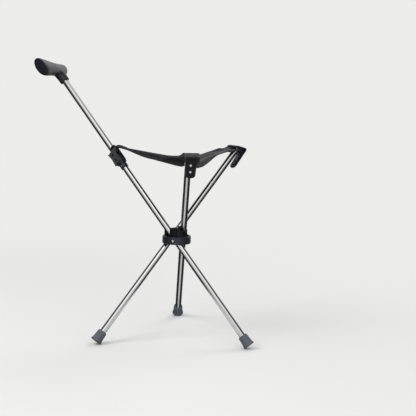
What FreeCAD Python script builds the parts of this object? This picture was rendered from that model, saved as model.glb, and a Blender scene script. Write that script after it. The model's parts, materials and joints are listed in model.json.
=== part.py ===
import FreeCAD, Part
import math
import os
import re

import Sketcher

# Walking stick seat: a handled stick and two short legs, crossed in a moulded hub,
# with a cloth seat hung from three corners. Millimetres and degrees.
# The part stands open. Each leg has a frame of its own: origin at its pivot, Z up the tube,
# X the side it leans to, Y outward from the hub.

SIZES = {
    "lean_angle": 41.1,
    "pivot_radius": 16.2,
    "pivot_trail": 6.1,
    "tube_diameter": 16.0,
    "tube_wall": 1.2,
    "leg_lower": 320.7,
    "short_leg_upper": 297.0,
    "handle_tube_upper": 548.0,
    "running_gap": 0.05,
    "swing_gap": 0.4,
    "seam_gap": 1.2,
    "ferrule_height": 29.0,
    "ferrule_floor": 8.0,
    "ferrule_top_radius": 11.2,
    "ferrule_waist_radius": 12.2,
    "ferrule_waist_height": 15.0,
    "tread_radius": 14.3,
    "tread_flat": 1.0,
    "foot_washer_thickness": 1.5,
    "foot_washer_play": 0.4,
    "ring_radius": 36.0,
    "ring_wall": 4.5,
    "ring_height": 19.5,
    "ring_chamfer": 1.5,
    "boss_radius": 7.0,
    "core_fit": 0.2,
    "core_shoulder": 20.0,
    "core_fin_height": 37.0,
    "core_fin_radius": 26.0,
    "core_fin_crest": 4.0,
    "core_post_height": 27.0,
    "core_post_radius": 14.0,
    "pivot_pin_radius": 2.5,
    "pivot_pin_bite": 5.0,
    "pivot_head_radius": 4.2,
    "pivot_head_height": 2.0,
    "spot_face_radius": 5.0,
    "spot_face_depth": 1.5,
    "bush_radius": 4.0,
    "cap_head_radius": 7.6,
    "cap_head_height": 4.0,
    "cap_plug_length": 18.0,
    "cap_plug_wall": 1.6,
    "arm_stand_off": 8.0,
    "arm_rise": 12.0,
    "arm_splay": 4.5,
    "arm_thickness": 3.0,
    "arm_width": 14.0,
    "corner_shift": 5.0,
    "arm_drop": 50.0,
    "tab_thickness": 2.5,
    "tab_top_width": 29.0,
    "tab_flare": 6.0,
    "tab_waist_width": 26.0,
    "tab_waist_drop": 22.0,
    "tab_end_width": 24.0,
    "tab_drop": 60.0,
    "tab_end_radius": 10.0,
    "tab_reach": 6.0,
    "tab_rivet_radius": 1.75,
    "tab_rivet_head_radius": 3.6,
    "tab_rivet_head_height": 1.6,
    "tab_rivet_drop": 20.0,
    "tab_rivet_spacing": 20.0,
    "collar_place": 229.5,
    "collar_sleeve_radius": 10.0,
    "collar_sleeve_length": 14.0,
    "collar_flange_radius": 13.5,
    "collar_flange_height": 2.5,
    "collar_body_radius": 11.3,
    "collar_body_length": 29.0,
    "collar_chamfer": 1.5,
    "collar_pin_radius": 2.0,
    "hook_wall": 3.0,
    "hook_height": 36.0,
    "hook_reach": 4.0,
    "hook_play": 0.3,
    "flap_thickness": 2.5,
    "flap_half_width": 12.0,
    "flap_tail": 3.5,
    "flap_strap_rise": 12.0,
    "flap_strap_reach": 20.0,
    "flap_rivet_radius": 1.75,
    "flap_rivet_head_radius": 3.2,
    "flap_rivet_head_height": 1.4,
    "flap_rivet_inset": 10.0,
    "grip_neck_place": 513.5,
    "grip_neck_radius": 12.6,
    "grip_neck_height": 26.0,
    "grip_long_reach": 96.0,
    "grip_short_reach": 44.0,
    "grip_turn": 10.0,
    "grip_heel_depth": 52.0,
    "grip_heel_width": 30.0,
    "grip_waist_depth": 38.0,
    "grip_waist_width": 28.0,
    "grip_nose_depth": 33.0,
    "grip_nose_width": 27.0,
    "grip_top": 60.5,
    "grip_end_round": 5.0,
    "grip_end_taper": 3.0,
    "grip_neck_flare": 16.0,
    "grip_dip": 3.5,
    "grip_pin_radius": 2.0,
    "grip_pin_drop": 13.0,
    "strap_width": 36.0,
    "cloth_thickness": 2.0,
    "edge_draw_in": 26.0,
    "edge_sag": 13.0,
    "far_edge_sag": 30.0,
    "seat_sag": 20.0,
}

# What a sketch is first drawn at, before its sizes are bound
DRAFT_SIZE = 9.0

# The hanging cloth is lofted in bands; the sag is a part of one half wave along the seat
CLOTH_BANDS = 9
SAG_WAVE_START = 0.02
SAG_WAVE_SPAN = 0.6

# A section of the cloth from edge to edge: the part of its width, and the part of its sag reached there
BOW = ((0, 0), (0.1, 0.5), (0.3, 0.87), (0.5, 1), (0.7, 0.87), (0.9, 0.5), (1, 0))

# Pivot directions round the hub, counted from X, a third of a turn apart
LEGS = ("handle", "front", "rear")
HANDLE_DIRECTION = 270.0
LEG_DIRECTIONS = {leg: (HANDLE_DIRECTION + 360 * place / len(LEGS)) % 360 for place, leg in enumerate(LEGS)}

doc = FreeCAD.newDocument("walking_stick_seat")
sheet = doc.addObject("Spreadsheet::Sheet", "Sizes")
for row, (alias, number) in enumerate(SIZES.items(), start=1):
    sheet.set("A%d" % row, alias)
    sheet.set("B%d" % row, str(number))
    sheet.setAlias("B%d" % row, alias)

layout = doc.addObject("App::VarSet", "Layout")
layout.addProperty("App::PropertyDistance", "hub_x", "Centre", "hub axis, from the middle of the whole part")
layout.addProperty("App::PropertyDistance", "hub_y", "Centre", "hub axis, from the middle of the whole part")
doc.recompute()

parts = []


def cell(text):
    """Turn every size name in an expression into its cell."""
    return re.sub(r"[a-z_]+", lambda word: ("Sizes." if word.group() in SIZES else "") + word.group(), text)


TUBE_RADIUS = "(tube_diameter / 2)"
BORE_RADIUS = "(tube_diameter / 2 - tube_wall)"
PIVOT_HEIGHT = "(leg_lower * cos(lean_angle) + tread_radius * sin(lean_angle) - tread_flat)"
SLOT_FACE = "(pivot_radius - tube_diameter / 2 - swing_gap)"
BOSS_FACE = "(pivot_radius + tube_diameter / 2 + swing_gap)"
RING_BORE = "(ring_radius - ring_wall)"
SEAT_FACE = "(sqrt(ring_radius * ring_radius - pivot_trail * pivot_trail) - spot_face_depth)"
COLLAR_BODY_START = "(collar_place + collar_sleeve_length + collar_flange_height)"
HOOK_BORE = "(collar_body_radius + hook_play)"
HOOK_RADIUS = "(collar_body_radius + hook_play + hook_wall)"
CAP_TOP = "(short_leg_upper + cap_head_height)"
ARM_FACE = "(tube_diameter / 2 + arm_stand_off + arm_thickness)"
ARM_TOP = "(short_leg_upper + cap_head_height + arm_rise)"
TAB_SLOPE = "(arm_rise / (tab_reach + tube_diameter / 2 + arm_stand_off + arm_thickness))"
TAB_LIFT = "(tab_thickness * sqrt(1 + %s * %s))" % (TAB_SLOPE, TAB_SLOPE)
TAB_RIVET_DROPS = (("high", "tab_rivet_drop"), ("low", "(tab_rivet_drop + tab_rivet_spacing)"))


def value(name):
    return float(sheet.get(name))


def place_in_leg(shape, leg):
    """Stand a piece in a leg's frame."""
    yaw = LEG_DIRECTIONS[leg]
    across = "pivot_radius * cos(%g) - pivot_trail * sin(%g)" % (yaw, yaw)
    along = "pivot_radius * sin(%g) + pivot_trail * cos(%g)" % (yaw, yaw)
    shape.setExpression("Placement.Base.x", "Layout.hub_x + 1 mm * (%s)" % cell(across))
    shape.setExpression("Placement.Base.y", "Layout.hub_y + 1 mm * (%s)" % cell(along))
    shape.setExpression("Placement.Base.z", cell(PIVOT_HEIGHT))
    shape.setExpression("Placement.Rotation.Yaw", "%g" % (yaw - 90))
    shape.setExpression("Placement.Rotation.Pitch", cell("lean_angle"))


def place_in_hub(shape, leg="handle"):
    """Stand a piece on the hub axis, with its Y side towards a leg's pivot."""
    shape.setExpression("Placement.Base.x", "Layout.hub_x")
    shape.setExpression("Placement.Base.y", "Layout.hub_y")
    shape.setExpression("Placement.Base.z", cell(PIVOT_HEIGHT))
    shape.setExpression("Placement.Rotation.Yaw", "%g" % (LEG_DIRECTIONS[leg] - 90))


def new_body(label):
    body = doc.addObject("PartDesign::Body", label)
    body.Label = label
    return body


def keep(shape):
    """Count a finished piece among the sub-parts."""
    parts.append(shape)
    return shape


def new_sketch(body, plane, name, lift=None, shift=None, across=None, tilt=None):
    """A sketch on an origin plane: lift is along its normal, shift along its upright, tilt about its normal."""
    sketch = body.newObject("Sketcher::SketchObject", body.Name + "_" + name)
    base = [feature for feature in body.Origin.OriginFeatures if feature.Role == plane][0]
    sketch.AttachmentSupport = [(base, "")]
    sketch.MapMode = "FlatFace"
    if lift:
        sketch.setExpression("AttachmentOffset.Base.z", cell(lift))
    if shift:
        sketch.setExpression("AttachmentOffset.Base.y", cell(shift))
    if across:
        sketch.setExpression("AttachmentOffset.Base.x", cell(across))
    if tilt:
        sketch.setExpression("AttachmentOffset.Rotation.Yaw", cell(tilt))
    return sketch


def bind(sketch, kind, label, expression, *ends):
    index = sketch.addConstraint(Sketcher.Constraint(kind, *ends, DRAFT_SIZE))
    sketch.renameConstraint(index, label)
    sketch.setExpression("Constraints." + label, cell(expression))


def outline(sketch, corners):
    """A closed outline of straight lines, each corner bound to two expressions."""
    count = len(corners)
    turns = [2 * math.pi * i / count for i in range(count)]
    ring = [FreeCAD.Vector(math.cos(turn), math.sin(turn), 0) * DRAFT_SIZE for turn in turns]
    lines = [Part.LineSegment(ring[i], ring[(i + 1) % count]) for i in range(count)]
    sketch.addGeometry(lines)
    for i in range(count):
        sketch.addConstraint(Sketcher.Constraint("Coincident", i, 2, (i + 1) % count, 1))
    for i, (across, up) in enumerate(corners):
        bind(sketch, "DistanceX", "across_%d" % i, across, -1, 1, i, 1)
        bind(sketch, "DistanceY", "up_%d" % i, up, -1, 1, i, 1)
    return sketch


def circles(sketch, radii, across="0", up="0"):
    """Circles about one centre."""
    for i, radius in enumerate(radii):
        sketch.addGeometry(Part.Circle(FreeCAD.Vector(0, 0, 0), FreeCAD.Vector(0, 0, 1), DRAFT_SIZE))
        bind(sketch, "DistanceX", "across_%d" % i, across, -1, 1, i, 3)
        bind(sketch, "DistanceY", "up_%d" % i, up, -1, 1, i, 3)
        bind(sketch, "Radius", "radius_%d" % i, radius, i)
    return sketch


def pad(body, sketch, length, reverse=False, middle=False):
    feature = body.newObject("PartDesign::Pad", sketch.Name + "_pad")
    feature.Profile = sketch
    feature.setExpression("Length", cell(length))
    feature.Reversed = reverse
    feature.Midplane = middle
    return feature


def pocket(body, sketch, length, reverse=False, middle=False):
    feature = body.newObject("PartDesign::Pocket", sketch.Name + "_pocket")
    feature.Profile = sketch
    feature.setExpression("Length", cell(length))
    feature.Reversed = reverse
    feature.Midplane = middle
    return feature


def turn(body, sketch, axis="V_Axis"):
    feature = body.newObject("PartDesign::Revolution", sketch.Name + "_turn")
    feature.Profile = sketch
    feature.ReferenceAxis = (sketch, [axis])
    feature.Angle = 360
    return feature


def three_times(body, features):
    """Repeat features about the hub axis, once for each leg."""
    pattern = body.newObject("PartDesign::PolarPattern", features[0].Name + "_round")
    pattern.Originals = features
    axis = [feature for feature in body.Origin.OriginFeatures if feature.Role == "Z_Axis"][0]
    pattern.Axis = (axis, [""])
    pattern.Angle = 360
    pattern.Occurrences = len(LEGS)
    body.Tip = pattern
    return pattern


def cross_hole(body, name, radius, place="0"):
    """A hole right through a tube along Y."""
    sketch = circles(new_sketch(body, "XZ_Plane", name), [radius], "0", place)
    pocket(body, sketch, "tube_diameter * 4", middle=True)


def domed_head(face, radius, height):
    """The outline of a rivet's head that stands on a face."""
    crown = face + " + " + height
    return [
        (face, radius),
        (crown + " / 2", radius + " * 0.88"),
        (crown, radius + " / 2"),
        (crown, "0"),
    ]


# Hub

def hub_core():
    """The moulded spider: a block cleared for the swing of all three legs."""
    body = new_body("hub_core")
    half = "ring_height / 2"
    blank = new_sketch(body, "XZ_Plane", "blank")
    rim = RING_BORE + " - core_fit"
    outline(blank, [
        ("0", "- " + half),
        (rim, "- " + half),
        (rim, "core_shoulder"),
        ("core_fin_radius", "core_fin_height"),
        ("core_fin_radius - core_fin_crest", "core_fin_height"),
        ("core_post_radius", "core_post_height"),
        ("0", "core_post_height"),
    ])
    turn(body, blank)
    swing = "(tube_diameter / 2 + swing_gap)"
    tall = "(core_fin_height + ring_height)"
    slope = "tan(lean_angle)"
    nip = "%s * tan(lean_angle / 2)" % swing
    slot = new_sketch(body, "XZ_Plane", "swing", lift="0 - " + SLOT_FACE)
    outline(slot, [
        ("0 - pivot_trail - " + swing, tall),
        ("0 - pivot_trail + %s * %s + %s / cos(lean_angle)" % (tall, slope, swing), tall),
        ("0 - pivot_trail + " + swing, "0 - " + nip),
        ("0 - pivot_trail + " + swing, "0 - " + tall),
        ("0 - pivot_trail - %s * %s - %s / cos(lean_angle)" % (tall, slope, swing), "0 - " + tall),
        ("0 - pivot_trail - " + swing, nip),
    ])
    slot_cut = pocket(body, slot, "ring_radius")
    three_times(body, [slot_cut])
    hole = circles(new_sketch(body, "XZ_Plane", "pin_hole", lift="0 - " + SLOT_FACE),
                   ["pivot_pin_radius"], "0 - pivot_trail", "0")
    hole_cut = pocket(body, hole, "pivot_pin_bite", reverse=True)
    three_times(body, [hole_cut])
    place_in_hub(body)
    keep(body)


def hub_ring():
    """The ring round the core, with a boss at each pivot."""
    body = new_body("hub_ring")
    half = "ring_height / 2"
    wall = new_sketch(body, "XZ_Plane", "wall")
    outline(wall, [
        (RING_BORE, "0 - " + half),
        ("ring_radius - ring_chamfer", "0 - " + half),
        ("ring_radius", "ring_chamfer - " + half),
        ("ring_radius", half + " - ring_chamfer"),
        ("ring_radius - ring_chamfer", half),
        (RING_BORE, half),
    ])
    turn(body, wall)
    boss = circles(new_sketch(body, "XZ_Plane", "boss", lift="0 - " + BOSS_FACE),
                   ["boss_radius"], "0 - pivot_trail", "0")
    boss_length = "ring_radius - ring_wall / 2 - spot_face_depth / 2 - " + BOSS_FACE
    boss_pad = pad(body, boss, boss_length, reverse=True)
    three_times(body, [boss_pad])
    seat = circles(new_sketch(body, "XZ_Plane", "head_seat", lift="0 - " + SEAT_FACE),
                   ["spot_face_radius"], "0 - pivot_trail", "0")
    seat_cut = pocket(body, seat, "ring_wall")
    three_times(body, [seat_cut])
    hole = circles(new_sketch(body, "XZ_Plane", "pin_hole", lift="0 - pivot_radius"),
                   ["pivot_pin_radius"], "0 - pivot_trail", "0")
    hole_cut = pocket(body, hole, "ring_radius")
    three_times(body, [hole_cut])
    place_in_hub(body)
    keep(body)


def pivot_rivet(leg):
    """The steel pin that a leg turns on, headed outside the ring."""
    body = new_body(leg + "_pivot_rivet")
    sketch = new_sketch(body, "YZ_Plane", "profile", lift="0 - pivot_trail")
    start = SLOT_FACE + " - pivot_pin_bite"
    outline(sketch, [
        (start, "0"),
        (start, "pivot_pin_radius"),
        (SEAT_FACE, "pivot_pin_radius"),
    ] + domed_head(SEAT_FACE, "pivot_head_radius", "pivot_head_height"))
    turn(body, sketch, "H_Axis")
    place_in_hub(body, leg)
    keep(body)


# Legs

def leg_tube(leg, label, top, holes):
    """A drawn steel tube from the foot washer to its top."""
    body = new_body(label)
    foot = "(leg_lower - ferrule_floor - foot_washer_thickness)"
    section = circles(new_sketch(body, "XY_Plane", "section", lift="0 - " + foot), [TUBE_RADIUS, BORE_RADIUS])
    pad(body, section, foot + " + " + top)
    cross_hole(body, "pivot_hole", "pivot_pin_radius + running_gap")
    for name, radius, place in holes:
        cross_hole(body, name, radius, place)
    place_in_leg(body, leg)
    keep(body)


def pivot_bush(leg):
    """A nylon bush inside the tube, round the pivot pin."""
    body = new_body(leg + "_pivot_bush")
    section = circles(new_sketch(body, "XZ_Plane", "section"),
                      ["bush_radius", "pivot_pin_radius + running_gap"])
    length = "2 * sqrt(%s * %s - bush_radius * bush_radius) - running_gap" % (BORE_RADIUS, BORE_RADIUS)
    pad(body, section, length, middle=True)
    place_in_leg(body, leg)
    keep(body)


def ferrule(leg):
    """The rubber foot, worn flat where it meets the floor."""
    body = new_body(leg + "_ferrule")
    sketch = new_sketch(body, "XZ_Plane", "profile")
    outline(sketch, [
        ("0", "0 - leg_lower"),
        ("tread_radius", "0 - leg_lower"),
        ("ferrule_waist_radius", "ferrule_waist_height - leg_lower"),
        ("ferrule_top_radius", "ferrule_height - leg_lower"),
        (TUBE_RADIUS, "ferrule_height - leg_lower"),
        (TUBE_RADIUS, "ferrule_floor - leg_lower"),
        ("0", "ferrule_floor - leg_lower"),
    ])
    turn(body, sketch)
    floor = new_sketch(body, "XZ_Plane", "floor")
    slope = "tan(lean_angle)"
    inner = "(tread_radius / 2)"
    outer = "(tread_radius * 3 / 2)"
    low = "0 - leg_lower + tread_flat / cos(lean_angle) - tread_radius / 2 * " + slope
    high = "0 - leg_lower + tread_flat / cos(lean_angle) + tread_radius / 2 * " + slope
    outline(floor, [(inner, low), (outer, low), (outer, high)])
    pocket(body, floor, "tread_radius * 4", middle=True)
    place_in_leg(body, leg)
    keep(body)


def foot_washer(leg):
    """The steel disc between the tube's end and the rubber."""
    body = new_body(leg + "_foot_washer")
    section = circles(new_sketch(body, "XY_Plane", "section", lift="ferrule_floor - leg_lower"),
                      [TUBE_RADIUS + " - foot_washer_play"])
    pad(body, section, "foot_washer_thickness")
    place_in_leg(body, leg)
    keep(body)


# Corners of the two short legs

def on_arm(out, down):
    """A point beside the arm's outer face: so far out from it, and so far down from its top corner."""
    across = "%s + %s * sin(arm_splay) + (%s) * cos(arm_splay)" % (ARM_FACE, down, out)
    up = "%s - %s * cos(arm_splay) + (%s) * sin(arm_splay)" % (ARM_TOP, down, out)
    return across, up


def rivet_sketch(body, name, down):
    """A sketch whose X runs square to the arm, from its outer face."""
    across, up = on_arm("0", down)
    return new_sketch(body, "XZ_Plane", name, lift="0 - corner_shift", shift=up, across=across, tilt="arm_splay")


def rivet_holes(body):
    """The two rivet holes, square through the arm."""
    for name, down in TAB_RIVET_DROPS:
        sketch = rivet_sketch(body, name + "_rivet_hole", down)
        outline(sketch, [
            ("0 - arm_stand_off", "0"),
            ("0 - arm_stand_off", "tab_rivet_radius"),
            ("arm_stand_off", "tab_rivet_radius"),
            ("arm_stand_off", "0"),
        ])
        groove = body.newObject("PartDesign::Groove", sketch.Name + "_bore")
        groove.Profile = sketch
        groove.ReferenceAxis = (sketch, ["H_Axis"])
        groove.Angle = 360


def end_cap(leg):
    """The moulded cap of a short leg, with an arm that stands off outside the tube."""
    body = new_body(leg + "_end_cap")
    plug = circles(new_sketch(body, "XY_Plane", "plug", lift="short_leg_upper - cap_plug_length"),
                   [BORE_RADIUS, BORE_RADIUS + " - cap_plug_wall"])
    pad(body, plug, "cap_plug_length")
    head = circles(new_sketch(body, "XY_Plane", "head", lift="short_leg_upper"), ["cap_head_radius"])
    pad(body, head, "cap_head_height")
    arm = new_sketch(body, "XZ_Plane", "arm", lift="0 - corner_shift - arm_width / 2")
    heel = "cap_head_radius / 2"
    outline(arm, [
        ("0 - " + heel, "short_leg_upper"),
        on_arm("0 - arm_thickness", "(arm_rise + cap_head_height - arm_thickness / 2)"),
        on_arm("0 - arm_thickness", "arm_drop"),
        on_arm("0", "arm_drop"),
        (ARM_FACE, ARM_TOP),
        ("0 - " + heel, "%s + %s * (tab_reach - %s)" % (CAP_TOP, TAB_SLOPE, heel)),
    ])
    pad(body, arm, "arm_width")
    rivet_holes(body)
    place_in_leg(body, leg)
    keep(body)


def corner_tab(leg):
    """The stiff tab that carries a seat corner over the cap and down its arm."""
    side = new_body(leg + "_tab_side")
    bend = new_sketch(side, "XZ_Plane", "bend")
    outline(bend, [
        ("0 - tab_reach", CAP_TOP),
        (ARM_FACE, ARM_TOP),
        on_arm("0", "(tab_drop + tab_thickness)"),
        on_arm("tab_thickness", "(tab_drop + tab_thickness)"),
        on_arm("tab_thickness", "0"),
        (ARM_FACE, ARM_TOP + " + " + TAB_LIFT),
        ("0 - tab_reach", CAP_TOP + " + " + TAB_LIFT),
    ])
    pad(side, bend, "tab_top_width * 2", middle=True)
    front = new_body(leg + "_tab_front")
    shape = new_sketch(front, "YZ_Plane", "shape", lift="0 - tab_reach * 2")
    foot = ARM_TOP + " - tab_drop * cos(arm_splay)"
    outline(shape, [
        ("corner_shift - tab_end_width / 2", foot),
        ("corner_shift + tab_end_width / 2", foot),
        ("corner_shift + tab_waist_width / 2", ARM_TOP + " - tab_waist_drop"),
        ("corner_shift + tab_top_width / 2 + tab_flare", ARM_TOP + " - tab_thickness * 2"),
        ("corner_shift + tab_top_width / 2 + tab_flare", ARM_TOP + " + tab_thickness * 2"),
        ("corner_shift - tab_top_width / 2", ARM_TOP + " + tab_thickness * 2"),
        ("corner_shift - tab_top_width / 2", ARM_TOP + " - tab_thickness * 2"),
        ("corner_shift - tab_waist_width / 2", ARM_TOP + " - tab_waist_drop"),
    ])
    front_pad = pad(front, shape, "tab_reach * 4 + arm_stand_off + tube_diameter")
    doc.recompute()
    lengthwise = []
    for index, edge in enumerate(front_pad.Shape.Edges, start=1):
        box = edge.BoundBox
        if box.XLength > box.YLength + box.ZLength:
            lengthwise.append((box.ZMin, "Edge%d" % index))
    rounded = front.newObject("PartDesign::Fillet", leg + "_tab_end")
    rounded.Base = (front_pad, [name for height, name in sorted(lengthwise)[:2]])
    rounded.setExpression("Radius", cell("tab_end_radius"))
    rivet_holes(front)
    tab = doc.addObject("Part::Common", leg + "_corner_tab")
    tab.Base = side
    tab.Tool = front
    tab.Label = leg + "_corner_tab"
    place_in_leg(tab, leg)
    keep(tab)


def tab_rivets(leg):
    """Two rivets through the tab and the cap's arm."""
    body = new_body(leg + "_tab_rivets")
    inner = "0 - arm_thickness"
    for name, down in TAB_RIVET_DROPS:
        sketch = rivet_sketch(body, name, down)
        outline(sketch, [
            (inner + " - tab_rivet_head_height", "0"),
            (inner + " - tab_rivet_head_height", "tab_rivet_head_radius / 2"),
            (inner, "tab_rivet_head_radius * 0.8"),
            (inner, "tab_rivet_radius"),
            ("tab_thickness", "tab_rivet_radius"),
        ] + domed_head("tab_thickness", "tab_rivet_head_radius", "tab_rivet_head_height"))
        turn(body, sketch, "H_Axis")
    place_in_leg(body, leg)
    keep(body)


# The handled leg

def shaft_collar():
    """The moulded collar that the seat's third corner hooks round."""
    body = new_body("shaft_collar")
    sketch = new_sketch(body, "XZ_Plane", "profile")
    flange = "collar_place + collar_sleeve_length"
    outline(sketch, [
        (TUBE_RADIUS, "collar_place"),
        ("collar_sleeve_radius", "collar_place"),
        ("collar_sleeve_radius", flange),
        ("collar_flange_radius", flange),
        ("collar_flange_radius", COLLAR_BODY_START),
        ("collar_body_radius", COLLAR_BODY_START),
        ("collar_body_radius", COLLAR_BODY_START + " + collar_body_length - collar_chamfer"),
        ("collar_body_radius - collar_chamfer", COLLAR_BODY_START + " + collar_body_length"),
        (TUBE_RADIUS, COLLAR_BODY_START + " + collar_body_length"),
    ])
    turn(body, sketch)
    cross_hole(body, "pin_hole", "collar_pin_radius", "collar_place + collar_sleeve_length / 2")
    place_in_leg(body, "handle")
    keep(body)


def cross_pin(label, radius, place, length):
    """A pin through the handled tube along Y."""
    body = new_body(label)
    section = circles(new_sketch(body, "XZ_Plane", "section"), [radius], "0", place)
    pad(body, section, length, middle=True)
    place_in_leg(body, "handle")
    keep(body)


def corner_hook():
    """The clip on the collar's near side, open towards the hub axis."""
    body = new_body("corner_hook")
    start = COLLAR_BODY_START
    solid = circles(new_sketch(body, "XY_Plane", "round", lift=start), [HOOK_RADIUS])
    pad(body, solid, "hook_height")
    cheeks = new_sketch(body, "XY_Plane", "cheeks", lift=start)
    outline(cheeks, [
        ("0 - " + HOOK_RADIUS, "0"),
        ("0 - " + HOOK_RADIUS, "0 - hook_reach"),
        (HOOK_RADIUS, "0 - hook_reach"),
        (HOOK_RADIUS, "0"),
    ])
    pad(body, cheeks, "hook_height")
    bore = circles(new_sketch(body, "XY_Plane", "bore", lift=start), [HOOK_BORE])
    pocket(body, bore, "hook_height", reverse=True)
    mouth = new_sketch(body, "XY_Plane", "mouth", lift=start)
    wide = HOOK_RADIUS + " * 2"
    outline(mouth, [
        ("0 - " + HOOK_BORE, "0"),
        ("0 - " + HOOK_BORE, "0 - hook_reach"),
        ("0 - " + wide, "0 - hook_reach"),
        ("0 - " + wide, "0 - " + wide),
        (wide, "0 - " + wide),
        (wide, "0 - hook_reach"),
        (HOOK_BORE, "0 - hook_reach"),
        (HOOK_BORE, "0"),
    ])
    pocket(body, mouth, "hook_height", reverse=True)
    flap_holes(body)
    place_in_leg(body, "handle")
    keep(body)


def flap_rivet_places():
    foot = COLLAR_BODY_START + " + flap_rivet_inset"
    head = COLLAR_BODY_START + " + hook_height - flap_rivet_inset"
    return (("low", foot), ("high", head))


def flap_holes(body):
    for name, place in flap_rivet_places():
        hole = circles(new_sketch(body, "XZ_Plane", name + "_hole"), ["flap_rivet_radius"], "0", place)
        pocket(body, hole, HOOK_RADIUS + " * 2")


def hook_flap():
    """The stiff end of the seat's third corner, on the near cheek of the hook."""
    body = new_body("hook_flap")
    start = COLLAR_BODY_START
    sketch = new_sketch(body, "XZ_Plane", "shape", lift="0 - " + HOOK_RADIUS)
    half = "flap_half_width"
    top = start + " + hook_height"
    outline(sketch, [
        ("0 - " + half, start + " + flap_tail"),
        (half + " / 6", start + " + flap_tail"),
        (half + " * 0.6", start + " - flap_tail"),
        (half, start + " - flap_tail / 2"),
        (half + " * 0.8", start + " + hook_height / 2"),
        (half, top + " - flap_tail / 2"),
        (half + " * 0.4", top + " - flap_tail"),
        ("0", top + " - flap_tail"),
        ("0 - " + half + " / 3", top + " + flap_strap_rise - cloth_thickness * 3"),
        ("0 - " + half, top + " + flap_strap_rise - cloth_thickness"),
        ("0 - flap_strap_reach", top + " + flap_strap_rise - cloth_thickness * 2"),
        ("0 - flap_strap_reach", top + " + flap_strap_rise - cloth_thickness * 6"),
        ("0 - " + half, top + " - flap_strap_rise"),
    ])
    pad(body, sketch, "flap_thickness", reverse=True)
    flap_holes(body)
    place_in_leg(body, "handle")
    keep(body)


def flap_rivets():
    """Two rivets through the flap and the hook's near cheek."""
    body = new_body("flap_rivets")
    outer = "(collar_body_radius + hook_play + hook_wall + flap_thickness)"
    for name, place in flap_rivet_places():
        sketch = new_sketch(body, "YZ_Plane", name, shift=place)
        outline(sketch, [
            (HOOK_BORE + " + hook_wall / 4", "0"),
            (HOOK_BORE + " + hook_wall / 4", "flap_rivet_radius"),
            (outer, "flap_rivet_radius"),
        ] + domed_head(outer, "flap_rivet_head_radius", "flap_rivet_head_height"))
        turn(body, sketch, "H_Axis")
    place_in_leg(body, "handle")
    keep(body)


def handle_grip():
    """The moulded grip: a long heel, a short nose and a flared neck."""
    crown = "(grip_neck_place + grip_top)"
    heel = "grip_heel_depth"
    waist = "grip_waist_depth"
    nose = "grip_nose_depth"
    stations = [
        ("heel_end", "grip_long_reach", heel + " - grip_end_taper", "grip_heel_width - grip_end_taper", "0"),
        ("heel", "grip_long_reach - grip_end_round", heel, "grip_heel_width", "0"),
        ("palm", "grip_long_reach * 0.6", "(%s + %s) / 2" % (heel, waist), "grip_heel_width", "grip_dip / 2"),
        ("waist", "grip_long_reach * 0.2", waist, "grip_waist_width", "grip_dip"),
        ("bridge", "0 - grip_short_reach * 0.4", waist, "grip_waist_width", "grip_dip / 2"),
        ("nose", "grip_end_round - grip_short_reach", nose, "grip_nose_width", "0"),
        ("nose_end", "0 - grip_short_reach", nose + " - grip_end_taper", "grip_nose_width - grip_end_taper",
         "grip_dip / 2"),
    ]
    sections = []
    for name, side, depth, width, dip in stations:
        section = doc.addObject("Part::Ellipse", "grip_" + name)
        section.setExpression("MajorRadius", cell("(%s) / 2" % depth))
        section.setExpression("MinorRadius", cell("(%s) / 2" % width))
        section.Placement.Rotation = FreeCAD.Rotation(FreeCAD.Vector(0, 0, 1), FreeCAD.Vector(0, 0, 0),
                                                      FreeCAD.Vector(0, 1, 0), "ZXY")
        section.setExpression("Placement.Base.y", cell(side))
        section.setExpression("Placement.Base.z", cell("%s - %s - (%s) / 2" % (crown, dip, depth)))
        sections.append(section)
    bar = doc.addObject("Part::Loft", "grip_bar")
    bar.Sections = sections
    bar.Solid = True
    bar.Ruled = False

    flares = [
        ("neck_foot", 0, 0),
        ("neck_low", 0.3, 0.04),
        ("neck_mid", 0.6, 0.22),
        ("neck_high", 0.85, 0.62),
        ("neck_head", 1.1, 1),
    ]
    rings = []
    for name, height, flare in flares:
        ring = doc.addObject("Part::Ellipse", "grip_" + name)
        ring.setExpression("MajorRadius", cell("grip_neck_radius + grip_neck_flare * %g" % flare))
        ring.setExpression("MinorRadius", cell("grip_neck_radius"))
        ring.Placement.Rotation = FreeCAD.Rotation(FreeCAD.Vector(0, 0, 1), 90)
        ring.setExpression("Placement.Base.z", cell("grip_neck_place + grip_neck_height * %g" % height))
        rings.append(ring)
    neck = doc.addObject("Part::Loft", "grip_neck")
    neck.Sections = rings
    neck.Solid = True
    neck.Ruled = False

    blank = doc.addObject("Part::Fuse", "grip_blank")
    blank.Base = bar
    blank.Tool = neck
    blank.setExpression("Placement.Rotation.Yaw", cell("grip_turn"))
    socket = doc.addObject("Part::Cylinder", "grip_socket")
    socket.setExpression("Radius", cell(TUBE_RADIUS))
    socket.setExpression("Height", cell("handle_tube_upper"))
    bored = doc.addObject("Part::Cut", "grip_bored")
    bored.Base = blank
    bored.Tool = socket
    pin = doc.addObject("Part::Cylinder", "grip_pin_hole")
    pin.setExpression("Radius", cell("grip_pin_radius"))
    pin.setExpression("Height", cell("grip_neck_radius * 4"))
    pin.Placement.Rotation = FreeCAD.Rotation(FreeCAD.Vector(1, 0, 0), 90)
    pin.setExpression("Placement.Base.y", cell("grip_neck_radius * 2"))
    pin.setExpression("Placement.Base.z", cell("grip_neck_place + grip_pin_drop"))
    grip = doc.addObject("Part::Cut", "handle_grip")
    grip.Label = "handle_grip"
    grip.Base = bored
    grip.Tool = pin
    place_in_leg(grip, "handle")
    keep(grip)


# Seat cloth

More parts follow.
